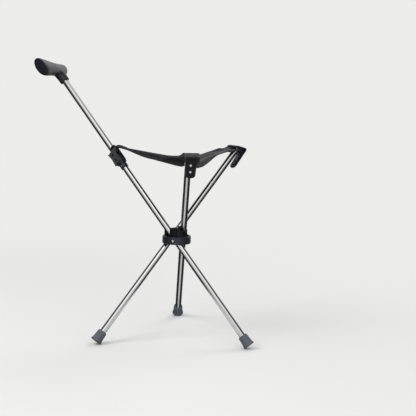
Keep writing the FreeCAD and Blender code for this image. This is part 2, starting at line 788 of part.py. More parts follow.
def leg_point(leg, x, y, z):
    """A point of a leg's frame, seen from the hub axis."""
    lean = math.radians(value("lean_angle"))
    facing = math.radians(LEG_DIRECTIONS[leg])
    outward = FreeCAD.Vector(math.cos(facing), math.sin(facing), 0)
    forward = FreeCAD.Vector(math.sin(facing), -math.cos(facing), 0)
    along = x * math.cos(lean) + z * math.sin(lean) - value("pivot_trail")
    foot = value("leg_lower") * math.cos(lean) + value("tread_radius") * math.sin(lean) - value("tread_flat")
    height = foot + z * math.cos(lean) - x * math.sin(lean)
    return forward * along + outward * (value("pivot_radius") + y) + FreeCAD.Vector(0, 0, height)


def bow_wire(left, right, depth, thickness):
    """A section of hanging cloth: a curve between two edges, and the same curve one thickness lower."""
    down = FreeCAD.Vector(0, 0, -thickness)
    curve = Part.BSplineCurve()
    curve.interpolate([left + (right - left) * share + FreeCAD.Vector(0, 0, -depth * part) for share, part in BOW])
    top = curve.toShape()
    bottom = top.translated(down)
    side = Part.LineSegment(right, right + down).toShape()
    back = Part.LineSegment(left + down, left).toShape()
    return Part.Wire([top, side, bottom, back])


def on_edge(first, last, heading, station):
    """The point of a straight edge at a station along the seat."""
    share = (station - first * heading) / (last * heading - first * heading)
    return first + (last - first) * share


def away_from(first, last, inside):
    """The level direction square to an edge, away from a point inside it."""
    outward = FreeCAD.Vector(last.y - first.y, first.x - last.x, 0)
    outward.normalize()
    if outward * (inside - first) > 0:
        outward = outward * -1
    return outward


def drawn_edge(first, last, inside):
    """The round that cuts an edge of the cloth back between two straps."""
    chord = FreeCAD.Vector(last.x - first.x, last.y - first.y, 0)
    draw = value("edge_draw_in")
    radius = (chord.Length ** 2 / 4 + draw ** 2) / (2 * draw)
    middle = (first + last) * 0.5 + away_from(first, last, inside) * (radius - draw)
    reach = value("leg_lower")
    return Part.makeCylinder(radius, 2 * reach, FreeCAD.Vector(middle.x, middle.y, middle.z - reach))


def seat_sling():
    """The cloth: a strap at each corner, edges drawn in between them, and a hanging middle."""
    half = value("strap_width") / 2
    thickness = value("cloth_thickness")
    seam = value("seam_gap") + thickness
    slope = value("arm_rise") / (value("tab_reach") + value("tube_diameter") / 2 + value("arm_stand_off")
                                 + value("arm_thickness"))
    short_edge = -value("tab_reach") - seam
    short_top = (value("short_leg_upper") + value("cap_head_height")
                 + value("tab_thickness") * math.sqrt(1 + slope * slope) - slope * seam)
    shift = value("corner_shift")
    hook_top = (value("collar_place") + value("collar_sleeve_length") + value("collar_flange_height")
                + value("hook_height") + value("flap_strap_rise") - 2 * thickness)
    hook_edge = -value("flap_strap_reach") - seam
    near = value("collar_body_radius") + value("hook_play") + value("hook_wall") + value("flap_thickness")
    a_left = leg_point("handle", hook_edge, near, hook_top)
    a_right = leg_point("handle", hook_edge, near - 2 * half, hook_top)
    b_left = leg_point("front", short_edge, shift - half, short_top)
    b_right = leg_point("front", short_edge, shift + half, short_top)
    c_left = leg_point("rear", short_edge, shift - half, short_top)
    c_right = leg_point("rear", short_edge, shift + half, short_top)
    far = b_right - c_left
    heading = FreeCAD.Vector(-far.y, far.x, 0)
    heading.normalize()
    start = max(a_left * heading, a_right * heading)
    shoulder = min(b_left * heading, c_right * heading)
    left_in = away_from(a_left, b_left, c_right) * -value("edge_draw_in")
    right_in = away_from(a_right, c_right, b_left) * -value("edge_draw_in")
    wires = []
    for i in range(CLOTH_BANDS + 1):
        share = i / CLOTH_BANDS
        bend = 4 * share * (1 - share)
        near_drop = FreeCAD.Vector(0, 0, -value("edge_sag") * bend)
        far_drop = FreeCAD.Vector(0, 0, -value("far_edge_sag") * bend)
        left = on_edge(a_left, b_left, heading, start + (shoulder - start) * share) + left_in * bend
        right = on_edge(a_right, c_right, heading, start + (shoulder - start) * share) + right_in * bend
        depth = value("seat_sag") * math.sin(math.pi * (SAG_WAVE_START + SAG_WAVE_SPAN * share))
        wires.append(bow_wire(left + near_drop, right + far_drop, depth, thickness))
    wires.append(bow_wire(b_right, c_left, value("edge_sag") + value("seat_sag") / 3, thickness))
    cloth = Part.makeLoft(wires, True, True)
    cloth = cloth.cut(drawn_edge(b_right, c_left, a_left))
    sling = doc.addObject("Part::Feature", "seat_sling")
    sling.Label = "seat_sling"
    sling.Shape = cloth
    sling.setExpression("Placement.Base.x", "Layout.hub_x")
    sling.setExpression("Placement.Base.y", "Layout.hub_y")
    keep(sling)


hub_core()
hub_ring()
for leg in LEGS:
    pivot_rivet(leg)
    pivot_bush(leg)
    ferrule(leg)
    foot_washer(leg)
leg_tube("handle", "handle_tube", "handle_tube_upper", [
    ("collar_pin_hole", "collar_pin_radius", "collar_place + collar_sleeve_length / 2"),
    ("grip_pin_hole", "grip_pin_radius", "grip_neck_place + grip_pin_drop"),
])
for leg in ("front", "rear"):
    leg_tube(leg, leg + "_leg_tube", "short_leg_upper", [])
    end_cap(leg)
    corner_tab(leg)
    tab_rivets(leg)
shaft_collar()
cross_pin("collar_pin", "collar_pin_radius", "collar_place + collar_sleeve_length / 2",
          "collar_sleeve_radius * 2")
corner_hook()
hook_flap()
flap_rivets()
handle_grip()
cross_pin("grip_pin", "grip_pin_radius", "grip_neck_place + grip_pin_drop", "grip_neck_radius * 2 - 1")
seat_sling()
doc.recompute()

# The origin is on the floor, under the middle of the whole part
whole = FreeCAD.BoundBox()
for part in parts:
    whole.add(part.Shape.optimalBoundingBox(False))
layout.hub_x = -whole.Center.x
layout.hub_y = -whole.Center.y
doc.recompute()

for item in doc.Objects:
    if "Invalid" in item.State or "Error" in item.State:
        raise RuntimeError("%s failed: %s" % (item.Name, item.State))
os.makedirs("parts", exist_ok=True)
for part in parts:
    shape = part.Shape
    if shape.isNull() or not shape.isValid():
        raise RuntimeError("%s has no valid shape" % part.Label)
    shape.exportStep(os.path.join("parts", part.Label + ".step"))
    print("%-20s solids %d volume %9.1f" % (part.Label, len(shape.Solids), shape.Volume))
print("hub axis at", layout.hub_x, layout.hub_y)
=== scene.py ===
"""Dresses the walking stick seat: its cloth, straps, grip, feet, hub and steel legs, in a plain studio."""

import json
import math

import bmesh
import bpy
from mathutils import Matrix, Vector, noise


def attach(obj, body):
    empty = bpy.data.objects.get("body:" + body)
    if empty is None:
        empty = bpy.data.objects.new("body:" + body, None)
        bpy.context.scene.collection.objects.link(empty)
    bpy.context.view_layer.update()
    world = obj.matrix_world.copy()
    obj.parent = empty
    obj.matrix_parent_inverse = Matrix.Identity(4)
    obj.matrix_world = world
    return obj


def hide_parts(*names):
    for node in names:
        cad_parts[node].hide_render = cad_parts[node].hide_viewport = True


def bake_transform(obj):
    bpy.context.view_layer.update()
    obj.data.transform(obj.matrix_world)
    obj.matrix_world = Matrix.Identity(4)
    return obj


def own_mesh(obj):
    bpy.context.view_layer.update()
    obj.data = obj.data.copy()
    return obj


bl_info = {
    "name": "Walking Stick Seat",
    "version": (1, 0, 0),
    "blender": (4, 5, 0),
    "location": "View3D > Sidebar > Stick Seat",
    "description": "Builds the pieces of a walking stick seat round its CAD frame",
    "category": "Object",
}

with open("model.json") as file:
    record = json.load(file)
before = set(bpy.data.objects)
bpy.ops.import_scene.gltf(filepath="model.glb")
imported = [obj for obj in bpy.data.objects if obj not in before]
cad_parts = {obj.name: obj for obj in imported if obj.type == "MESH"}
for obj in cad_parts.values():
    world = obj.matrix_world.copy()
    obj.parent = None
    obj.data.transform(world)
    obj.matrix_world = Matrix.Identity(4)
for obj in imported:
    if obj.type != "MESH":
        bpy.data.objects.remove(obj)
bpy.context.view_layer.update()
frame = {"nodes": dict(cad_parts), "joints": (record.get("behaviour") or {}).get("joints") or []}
LEGS = ("handle", "front", "rear")
UP = Vector((0, 0, 1))


def leg_joint(leg):
    return [joint for joint in frame["joints"] if joint["name"] == leg + "_leg_fold"][0]


FOLD_ANGLE = math.radians(leg_joint("handle")["range_deg"][1])
PIVOTS = {leg: Vector(leg_joint(leg)["pos_m"]) for leg in LEGS}
HUB_AXIS = sum(PIVOTS.values(), Vector()) / len(LEGS)
# Out along each leg's pivot, and level from the hub's axis towards each leg's top
OUTWARD = {leg: -Vector(leg_joint(leg)["axis"]) for leg in LEGS}
RAYS = {leg: OUTWARD[leg].cross(UP).normalized() for leg in LEGS}


def frame_matrix(x_axis, y_axis, z_axis, origin):
    matrix = Matrix((x_axis, y_axis, z_axis)).transposed().to_4x4()
    matrix.translation = origin
    return matrix


def leg_matrix(leg):
    """From a leg's own frame (Z up the tube, X the side it leans to, Y outward) to the seat's."""
    forward = OUTWARD[leg].cross(UP)
    tube = UP * math.cos(FOLD_ANGLE) + forward * math.sin(FOLD_ANGLE)
    side = forward * math.cos(FOLD_ANGLE) - UP * math.sin(FOLD_ANGLE)
    return frame_matrix(side, OUTWARD[leg], tube, PIVOTS[leg])


LEG_FRAMES = {leg: leg_matrix(leg) for leg in LEGS}


def on_leg(leg, x, y, z):
    """A point of a leg's frame, in millimetres, as a point of the seat's."""
    return LEG_FRAMES[leg] @ Vector((x / 1000, y / 1000, z / 1000))


def smooth_step(value, low, high):
    """0 below low, 1 above high, and a smooth rise between them."""
    share = min(max((value - low) / (high - low), 0), 1)
    return share * share * (3 - 2 * share)


def between(value, stops):
    """1 between the middle two of four stops, and 0 outside the outer two."""
    return smooth_step(value, stops[0], stops[1]) * (1 - smooth_step(value, stops[2], stops[3]))


def bell(distance, half_width):
    return math.exp(-(distance / half_width) ** 2)


# Meshes

GROUPS = {}
MATERIALS = {}
# Points nearer than this, in metres, are one
HAIR = 1e-6


def new_piece(name, shape, material, smooth_angle=40):
    """A mesh object from a bmesh, smooth except at edges sharper than the angle."""
    limit = math.radians(smooth_angle)
    for face in shape.faces:
        face.smooth = True
    for edge in shape.edges:
        if len(edge.link_faces) == 2 and edge.calc_face_angle(0) > limit:
            edge.smooth = False
    mesh = bpy.data.meshes.new(name)
    shape.to_mesh(mesh)
    shape.free()
    piece = bpy.data.objects.new(name, mesh)
    bpy.context.collection.objects.link(piece)
    mesh.materials.append(MATERIALS[material])
    return piece


def modify(piece, title, kind, **settings):
    modifier = piece.modifiers.new(title, kind)
    for name, value in settings.items():
        setattr(modifier, name, value)


def final_mesh(piece):
    """A piece's mesh as its modifiers leave it."""
    seen = piece.evaluated_get(bpy.context.evaluated_depsgraph_get())
    return bpy.data.meshes.new_from_object(seen)


def settle(piece, body, node=None):
    """Hide the CAD node a piece stands for, if one is given, and attach the piece to what it moves with."""
    if node:
        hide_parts(node)
    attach(piece, body)


def moved(shape, matrix):
    bmesh.ops.transform(shape, matrix=matrix, verts=shape.verts)
    return shape


def gather(whole, shape):
    """Put a bmesh into another one."""
    mesh = bpy.data.meshes.new("gathered")
    shape.to_mesh(mesh)
    shape.free()
    whole.from_mesh(mesh)
    bpy.data.meshes.remove(mesh)


def cut(shape, point, normal, cleared=True):
    """Cut a bmesh along a plane. Cleared, what stands before the plane goes and the cut is closed."""
    made = bmesh.ops.bisect_plane(shape, geom=shape.verts[:] + shape.edges[:] + shape.faces[:],
                                  plane_co=point, plane_no=normal, clear_outer=cleared)
    if cleared:
        rim = [item for item in made["geom_cut"] if isinstance(item, bmesh.types.BMEdge)]
        bmesh.ops.holes_fill(shape, edges=rim)


def eased_copy(node, material, ease, body):
    """The CAD node again with its edges rounded, as a mould leaves them."""
    shape = bmesh.new()
    shape.from_mesh(frame["nodes"][node].data)
    bmesh.ops.remove_doubles(shape, verts=shape.verts, dist=HAIR)
    bmesh.ops.dissolve_limit(shape, angle_limit=math.radians(0.5), verts=shape.verts, edges=shape.edges)
    piece = new_piece(node + "_moulded", shape, material)
    modify(piece, "Eased edges", "BEVEL", width=ease / 1000, segments=3, limit_method="ANGLE",
           angle_limit=math.radians(30), use_clamp_overlap=True, harden_normals=True)
    settle(piece, body, node)
    return piece


def turned(profile, steps=72, ring=False):
    """An outline of (radius, height) in millimetres, spun about Z; a ring's outline is closed."""
    shape = bmesh.new()
    points = [shape.verts.new((radius / 1000, 0, height / 1000)) for radius, height in profile]
    lines = [shape.edges.new(pair) for pair in zip(points, points[1:])]
    if ring:
        lines.append(shape.edges.new((points[-1], points[0])))
    bmesh.ops.spin(shape, geom=points + lines, cent=(0, 0, 0), axis=(0, 0, 1), angle=2 * math.pi,
                   steps=steps, use_merge=True, use_duplicate=False)
    bmesh.ops.remove_doubles(shape, verts=shape.verts, dist=HAIR)
    bmesh.ops.recalc_face_normals(shape, faces=shape.faces)
    return shape


def turns(steps):
    return [2 * math.pi * step / steps for step in range(steps)]


def skin(rings):
    """A closed skin over rings of points."""
    shape = bmesh.new()
    rows = [[shape.verts.new(point) for point in ring] for ring in rings]
    for first, second in zip(rows, rows[1:]):
        for i in range(len(first)):
            j = (i + 1) % len(first)
            shape.faces.new((first[i], first[j], second[j], second[i]))
    shape.faces.new(rows[0])
    shape.faces.new(list(reversed(rows[-1])))
    bmesh.ops.recalc_face_normals(shape, faces=shape.faces)
    return shape


def fill_rows(shape, rows):
    """Faces between rows of vertices."""
    for first, second in zip(rows, rows[1:]):
        for i in range(len(first) - 1):
            shape.faces.new((first[i], second[i], second[i + 1], first[i + 1]))


# Shader nodes

def join(tree, node, **sockets):
    """Give a node's sockets their values, colours or other nodes' outputs; _2 means the third socket."""
    for name, value in sockets.items():
        socket = node.inputs[int(name[1:]) if name[0] == "_" else name.replace("_", " ")]
        if isinstance(value, bpy.types.NodeSocket):
            tree.links.new(value, socket)
        else:
            socket.default_value = (*value, 1) if socket.type == "RGBA" else value


def add_node(tree, kind, settings=None, **sockets):
    """A shader node; settings are its own properties."""
    made = tree.nodes.new(kind)
    for name, value in (settings or {}).items():
        setattr(made, name, value)
    join(tree, made, **sockets)
    return made


def maths(tree, operation, *values):
    sockets = {"_" + str(place): value for place, value in enumerate(values)}
    return add_node(tree, "ShaderNodeMath", {"operation": operation}, **sockets).outputs[0]


def ranged(tree, value, span, to=(0.0, 1.0), rise="LINEAR"):
    """A value that lies in one span, stretched to lie in another."""
    return add_node(tree, "ShaderNodeMapRange", {"interpolation_type": rise}, Value=value, From_Min=span[0],
                    From_Max=span[1], To_Min=to[0], To_Max=to[1]).outputs[0]


def mixed(tree, share, first, second):
    return add_node(tree, "ShaderNodeMix", {"data_type": "RGBA"}, _0=share, _6=first, _7=second).outputs[2]


def uneven(tree, place, scale, detail, roughness=0.5):
    return add_node(tree, "ShaderNodeTexNoise", Vector=place, Scale=scale, Detail=detail,
                    Roughness=roughness).outputs["Fac"]


def layered(tree, share, first, second):
    """Two shaders, mixed."""
    return add_node(tree, "ShaderNodeMixShader", _0=share, _1=first.outputs[0], _2=second.outputs[0])


def object_place(tree):
    return add_node(tree, "ShaderNodeTexCoord").outputs["Object"]


def map_place(tree, name):
    return add_node(tree, "ShaderNodeUVMap", {"uv_map": name}).outputs["UV"]


def bumped(tree, shader, height, distance, strength=1.0):
    bump = add_node(tree, "ShaderNodeBump", Height=height, Distance=distance, Strength=strength)
    join(tree, shader, Normal=bump.outputs["Normal"])


# Shared effects

def new_group(name, inputs, outputs):
    """An empty shader group: its inputs with their defaults, and the names of its outputs."""
    tree = bpy.data.node_groups.new(name, "ShaderNodeTree")
    for title, default in inputs.items():
        kind = "NodeSocketColor" if isinstance(default, tuple) else "NodeSocketFloat"
        tree.interface.new_socket(title, in_out="INPUT", socket_type=kind).default_value = default
    for title in outputs:
        kind = "NodeSocketColor" if title == "Color" else "NodeSocketFloat"
        tree.interface.new_socket(title, in_out="OUTPUT", socket_type=kind)
    return tree, tree.nodes.new("NodeGroupInput").outputs, tree.nodes.new("NodeGroupOutput")


def grain_group():
    """Fine moulded grain over soft unevenness, with dust in a few places."""
    tree, given, result = new_group("Moulded grain", {
        "Base": (0.05, 0.05, 0.05, 1), "Dust": (0.2, 0.2, 0.2, 1), "Dust share": 0.1, "Roughness": 0.5,
        "Grain size": 900.0,
    }, ("Color", "Roughness", "Height"))
    place = object_place(tree)
    grain = uneven(tree, place, given["Grain size"], detail=3.0, roughness=0.6)
    cloud = uneven(tree, place, scale=28.0, detail=4.0)
    dusty = maths(tree, "MULTIPLY", ranged(tree, cloud, (0.45, 0.8)), given["Dust share"])
    uneven_shine = ranged(tree, cloud, (0.3, 0.7), to=(-0.06, 0.06))
    join(tree, result, Color=mixed(tree, dusty, given["Base"], given["Dust"]),
         Roughness=maths(tree, "ADD", given["Roughness"], uneven_shine), Height=grain)
    return tree


def weave_group():
    """A plain weave on the cloth's own map: crossed threads, each with its own tone."""
    tree, given, result = new_group("Plain weave", {
        "Threads": 900.0, "Dark": (0.01, 0.01, 0.012, 1), "Light": (0.05, 0.05, 0.055, 1),
    }, ("Color", "Height"))
    place = map_place(tree, "cloth")
    split = add_node(tree, "ShaderNodeSeparateXYZ", Vector=place).outputs
    waves = [maths(tree, "SINE", maths(tree, "MULTIPLY", split[axis], given["Threads"])) for axis in (0, 1)]
    height = ranged(tree, maths(tree, "MULTIPLY", *waves), (-1.0, 1.0))
    slub = uneven(tree, place, scale=60.0, detail=5.0)
    tone = ranged(tree, maths(tree, "MULTIPLY_ADD", height, 0.5, slub), (0.4, 1.1))
    join(tree, result, Color=mixed(tree, tone, given["Dark"], given["Light"]), Height=height)
    return tree


def stitch_group():
    """A row of stitches on a map of (run along an edge, distance from it): a mask and a height."""
    tree, given, result = new_group("Stitches", {
        "Run": 0.0, "Edge": 0.0, "Inset": 0.012, "Pitch": 0.0032, "Width": 0.0005,
    }, ("Mask", "Height"))
    off = maths(tree, "SUBTRACT", given["Edge"], given["Inset"])
    side = maths(tree, "DIVIDE", maths(tree, "ABSOLUTE", off), given["Width"])
    beat = maths(tree, "FRACT", maths(tree, "DIVIDE", given["Run"], given["Pitch"]))
    from_middle = maths(tree, "ABSOLUTE", maths(tree, "SUBTRACT", beat, 0.5))
    ends = ranged(tree, from_middle, (0.32, 0.42), to=(1.0, 0.0))
    across = ranged(tree, side, (0.5, 1.0), to=(1.0, 0.0))
    groove = ranged(tree, side, (0.8, 2.6), to=(-0.6, 0.0))
    mask = maths(tree, "MULTIPLY", ends, across)
    join(tree, result, Mask=mask, Height=maths(tree, "ADD", mask, groove))
    return tree


def add_group(tree, name, **sockets):
    return add_node(tree, "ShaderNodeGroup", {"node_tree": GROUPS[name]}, **sockets).outputs


def stitches(tree, uv_map, edge_axis, **sizes):
    """Stitches from a map, and the distance from the edge that one of the map's two axes holds."""
    split = add_node(tree, "ShaderNodeSeparateXYZ", Vector=map_place(tree, uv_map)).outputs
    edge = split[edge_axis]
    return add_group(tree, "stitches", Run=split[1 - edge_axis], Edge=edge, **sizes), edge


def sew(tree, shader, ground, band, row, thread, relief):
    """Colour a ground with a paler band and a row of stitches, and give their height together."""
    banded = mixed(tree, band, ground["Color"], thread)
    join(tree, shader, Base_Color=mixed(tree, row["Mask"], banded, thread))
    return maths(tree, "MULTIPLY_ADD", row["Height"], relief, ground["Height"])


# Materials

def new_material(name, **constants):
    """A Principled material with its constant sockets set."""
    material = bpy.data.materials.new(name)
    material.use_nodes = True
    tree = material.node_tree
    shader = tree.nodes["Principled BSDF"]
    join(tree, shader, **constants)
    MATERIALS[name] = material
    return tree, shader


def moulded_material(name, base, dust, roughness, dust_share=0.1, grain=900.0, depth=0.00008, **constants):
    tree, shader = new_material(name, **constants)
    made = add_group(tree, "grain", Base=base, Dust=dust, Dust_share=dust_share, Roughness=roughness,
                     Grain_size=grain)
    join(tree, shader, Base_Color=made["Color"], Roughness=made["Roughness"])
    bumped(tree, shader, made["Height"], depth)


# What is left of steel's colour in its drawing marks
DULLING = 0.82


def steel_material(name, tint, shine, stretch, leg=None):
    """Polished steel with drawing marks along the tube; shine is its lowest and highest roughness."""
    tree, shader = new_material(name, Metallic=1.0)
    place = object_place(tree)
    turn = LEG_FRAMES[leg].to_3x3().inverted().to_euler() if leg else (0, 0, 0)
    upright = add_node(tree, "ShaderNodeMapping", Vector=place, Rotation=turn).outputs[0]
    drawn = add_node(tree, "ShaderNodeMapping", Vector=upright, Scale=stretch).outputs[0]
    marks = uneven(tree, drawn, scale=1.0, detail=4.0, roughness=0.6)
    cloud = uneven(tree, place, scale=14.0, detail=3.0)
    rough = ranged(tree, maths(tree, "MULTIPLY_ADD", cloud, 0.5, marks), (0.45, 1.0), to=shine)
    dull = [channel * DULLING for channel in tint]
    join(tree, shader, Base_Color=mixed(tree, marks, tint, dull), Roughness=rough)
    bumped(tree, shader, marks, distance=0.00001, strength=0.4)


def cloth_material(name, dark, light, thread, roughness, sheen):
    """Woven cloth with a paler band along its hem, painted light that stands for the lit hem, and the row of
    stitches that holds it.
    """
    tree, shader = new_material(name, Roughness=roughness, Sheen_Weight=sheen, Sheen_Roughness=0.4,
                                Specular_IOR_Level=0.25)
    weave = add_group(tree, "weave", Dark=dark, Light=light, Threads=5200.0)
    row, edge = stitches(tree, "hem", 1, Inset=0.0125)
    # The paler band along the hem is painted light: the thread's colour mixed in at half within the hem's
    # width
    band = ranged(tree, edge, (0.0145, 0.017), to=(0.5, 0.0))
    height = sew(tree, shader, weave, band, row, thread, relief=2.5)
    bumped(tree, shader, height, distance=0.0001, strength=0.5)


def strap_material(name, base, rim, roughness):
    """Stiff leatherette: grained, with a paler rim along its edges and a row of stitches inside it."""
    tree, shader = new_material(name, Specular_IOR_Level=0.16)
    grain = add_group(tree, "grain", Base=base, Dust=rim, Dust_share=0.05, Roughness=roughness,
                      Grain_size=750.0)
    row, edge = stitches(tree, "strap", 0, Inset=0.0027, Pitch=0.0034, Width=0.00045)
    pale_rim = ranged(tree, edge, (0.0006, 0.0016), to=(0.8, 0.0))
    height = sew(tree, shader, grain, pale_rim, row, rim, relief=1.6)
    join(tree, shader, Roughness=grain["Roughness"])
    bumped(tree, shader, height, distance=0.0002, strength=0.8)


# Heights up the handled leg, in metres, between which the grip turns from the painted shade on its neck to
# its bar's colour
NECK_TOP, BAR_START = 0.532, 0.552


class OBJECT_OT_stick_seat_finishes(bpy.types.Operator):
    """Make the finishes and give the CAD pieces theirs"""
    bl_idname = "object.stick_seat_finishes"
    bl_label = "Finishes"

    def execute(self, context):
        GROUPS["grain"] = grain_group()
        GROUPS["weave"] = weave_group()
        GROUPS["stitches"] = stitch_group()
        moulded_material("hub plastic", (0.016, 0.019, 0.025), (0.07, 0.075, 0.08), 0.42, dust_share=0.12)
        moulded_material("core plastic", (0.006, 0.0065, 0.008), (0.02, 0.02, 0.022), 0.5,
                         Specular_IOR_Level=0.2)
        moulded_material("grip rubber", (0.115, 0.115, 0.124), (0.15, 0.15, 0.155), 0.46, dust_share=0.15,
                         grain=1400.0, depth=0.00005)
        # Painted shade on the grip's neck and underside
        self.darker_neck("grip rubber")
        moulded_material("foot rubber", (0.11, 0.125, 0.15), (0.2, 0.2, 0.2), 0.6, dust_share=0.25,
                         grain=700.0)
        moulded_material("corner leatherette", (0.046, 0.047, 0.052), (0.07, 0.07, 0.072), 0.55,
                         dust_share=0.2, grain=600.0, depth=0.0002)
        # Painted shade: the heel plate's near-black stands for the shade on the grip's end face
        moulded_material("heel painted shade", (0.008, 0.0085, 0.012), (0.02, 0.02, 0.024), 0.5,
                         Specular_IOR_Level=0.25)
        moulded_material("nylon", (0.6, 0.59, 0.55), (0.4, 0.4, 0.38), 0.5)
        strap_material("strap leatherette", (0.006, 0.006, 0.008), (0.07, 0.07, 0.078), 0.4)
        # The third colour is the stitches' thread and also the painted light on the hem band
        cloth_material("woven cloth", (0.007, 0.007, 0.009), (0.016, 0.016, 0.019), (0.06, 0.06, 0.068),
                       roughness=0.62, sheen=0.14)
        for leg in LEGS:
            steel_material(leg + " tube steel", (0.68, 0.68, 0.685), (0.07, 0.15), (900, 900, 4), leg)
        steel_material("rivet steel", (0.72, 0.72, 0.73), (0.2, 0.35), (300, 300, 300))
        steel_material("blackened steel", (0.05, 0.05, 0.055), (0.35, 0.5), (300, 300, 300))
        for node, item in frame["nodes"].items():
            finish = "hub plastic"
            if node.endswith("tube"):
                finish = node.split("_")[0] + " tube steel"
            elif "rivet" in node or "washer" in node or node.endswith("pin"):
                finish = "rivet steel"
            elif "bush" in node:
                finish = "nylon"
            item.data.materials.clear()
            item.data.materials.append(MATERIALS[finish])
        return {"FINISHED"}

    def darker_neck(self, name):
        """Painted shade: the grip's neck and underside are darkened below its bar, by their height up the
        handled leg.
        """
        tree = MATERIALS[name].node_tree
        shader = tree.nodes["Principled BSDF"]
        bar_color = shader.inputs["Base Color"].links[0].from_socket
        up = LEG_FRAMES["handle"].to_3x3().col[2]
        zero = PIVOTS["handle"].dot(up)
        height = add_node(tree, "ShaderNodeVectorMath", {"operation": "DOT_PRODUCT"}, _0=object_place(tree),
                          _1=tuple(up)).outputs["Value"]
        share = ranged(tree, height, (zero + NECK_TOP, zero + BAR_START), rise="SMOOTHSTEP")
        # The near-black mixed in below the bar is painted shade
        join(tree, shader, Base_Color=mixed(tree, share, (0.016, 0.016, 0.02), bar_color))


# Settings

class StickSeatCloth(bpy.types.PropertyGroup):
    thickness: bpy.props.FloatProperty(name="Cloth thickness", description="Of the hanging cloth",
                                       default=0.0016, unit="LENGTH")
    hem_width: bpy.props.FloatProperty(name="Hem width", description="Of the doubled band along each edge",
                                       default=0.016, unit="LENGTH")
    hem_extra: bpy.props.FloatProperty(name="Hem thickness", description="What the band adds to the cloth",
                                       default=0.0012, unit="LENGTH")
    belly: bpy.props.FloatProperty(name="Belly", description="How far the cloth hangs below its edges",
                                   default=0.0065, unit="LENGTH")
    pouch: bpy.props.FloatProperty(name="Pouch", description="How much deeper it hangs by the front strap",
                                   default=0.014, unit="LENGTH")
    drop: bpy.props.FloatProperty(name="Edge drop", description="How soon the cloth turns down at its edges",
                                  default=0.008, unit="LENGTH")


class StickSeatStudio(bpy.types.PropertyGroup):
    backdrop: bpy.props.FloatVectorProperty(name="Backdrop", description="Colour of floor and background",
                                            subtype="COLOR", default=(0.84, 0.84, 0.835), size=3)


# Seat cloth

# Where the cloth is held, in millimetres in a leg's frame: the clip's near and far corner, and how far in
# and up a strap lies on its cap. A strap's middle is shifted outward, with its edges at half its width
CLIP_NEAR, CLIP_FAR = (-23.2, 17.3, 290.0), (-23.2, -18.7, 290.0)
CAP_X, CAP_Z = -9.2, 302.3
CORNER_SHIFT, STRAP_HALF = 5.0, 18.0
# How much lower, in metres, these corners hang than the clip and the caps hold them
CORNER_DROPS = {"handle_near": 0.004, "handle_far": 0.005, "rear_near": 0.009}

CORNERS = {"handle_near": on_leg("handle", *CLIP_NEAR), "handle_far": on_leg("handle", *CLIP_FAR)}
for leg in ("front", "rear"):
    CORNERS[leg + "_near"] = on_leg(leg, CAP_X, CORNER_SHIFT - STRAP_HALF, CAP_Z)
    CORNERS[leg + "_far"] = on_leg(leg, CAP_X, CORNER_SHIFT + STRAP_HALF, CAP_Z)
for corner, drop in CORNER_DROPS.items():
    CORNERS[corner].z -= drop
STRAP_ENDS = [(CORNERS[leg + "_near"] + CORNERS[leg + "_far"]) / 2 for leg in LEGS]
# How far, in metres, an edge is drawn in from the straight line between its corners
EDGE_DRAW = 0.026


class Hem:
    """One drawn-in edge of the cloth: seen from above an arc, which sags most at one share of its length."""

    def __init__(self, first, last, sag, lowest, fall, climb):
        self.first, self.last, self.sag = CORNERS[first], CORNERS[last], sag
        self.lowest, self.fall, self.climb = lowest, fall, climb
        chord = self.last - self.first
        chord.z = 0
        self.radius = (chord.length ** 2 / 4 + EDGE_DRAW ** 2) / (2 * EDGE_DRAW)
        outward = Vector((chord.y, -chord.x, 0)).normalized()
        middle = (self.first + self.last) / 2
        if outward.dot(HUB_AXIS - middle) > 0:
            outward = -outward
        self.centre = middle + outward * (self.radius - EDGE_DRAW)

    def point(self, share):
        flat = self.first.lerp(self.last, share)
        ray = Vector((flat.x - self.centre.x, flat.y - self.centre.y, 0)).normalized()
        if share < self.lowest:
            hang = 1 - ((self.lowest - share) / self.lowest) ** self.fall
        else:
            hang = 1 - ((share - self.lowest) / (1 - self.lowest)) ** self.climb
        level = flat.z - self.sag * hang
        return Vector((self.centre.x + ray.x * self.radius, self.centre.y + ray.y * self.radius, level))

    def run(self, point):
        """How far a point lies along the edge."""
        away = math.atan2(point.y - self.centre.y, point.x - self.centre.x)
        start = math.atan2(self.first.y - self.centre.y, self.first.x - self.centre.x)
        return self.radius * ((away - start + math.pi) % (2 * math.pi) - math.pi)

    def share(self, point):
        return self.run(point) / self.run(self.last)

    def inside(self, point):
        """How far a point lies inside the edge, seen from above."""
        return math.hypot(point.x - self.centre.x, point.y - self.centre.y) - self.radius


NEAR_HEM = Hem("handle_near", "front_near", sag=0.0125, lowest=0.70, fall=1.8, climb=2.6)
FAR_HEM = Hem("handle_far", "rear_far", sag=0.030, lowest=0.48, fall=2.4, climb=2.0)
END_HEM = Hem("front_far", "rear_near", sag=0.019, lowest=0.18, fall=2.0, climb=1.5)
HEMS = (NEAR_HEM, FAR_HEM, END_HEM)
# The share of the boundary at the short legs that each strap takes
STRAP_SHARE = 0.14


def end_line(share):
    """The boundary at the two short legs: a strap, the drawn-in edge and the other strap."""
    if share < STRAP_SHARE:
        return CORNERS["front_near"].lerp(CORNERS["front_far"], share / STRAP_SHARE)
    if share > 1 - STRAP_SHARE:
        return CORNERS["rear_near"].lerp(CORNERS["rear_far"], (share - 1 + STRAP_SHARE) / STRAP_SHARE)
    return END_HEM.point((share - STRAP_SHARE) / (1 - 2 * STRAP_SHARE))


def cloth_point(along, across):
    """A blended patch between the four sides."""
    near, far = NEAR_HEM.point(along), FAR_HEM.point(along)
    start, end = CORNERS["handle_near"].lerp(CORNERS["handle_far"], across), end_line(across)
    corners = start * (1 - along) + CORNERS["front_near"].lerp(CORNERS["rear_far"], across) * along
    return near * (1 - across) + far * across + start * (1 - along) + end * along - corners


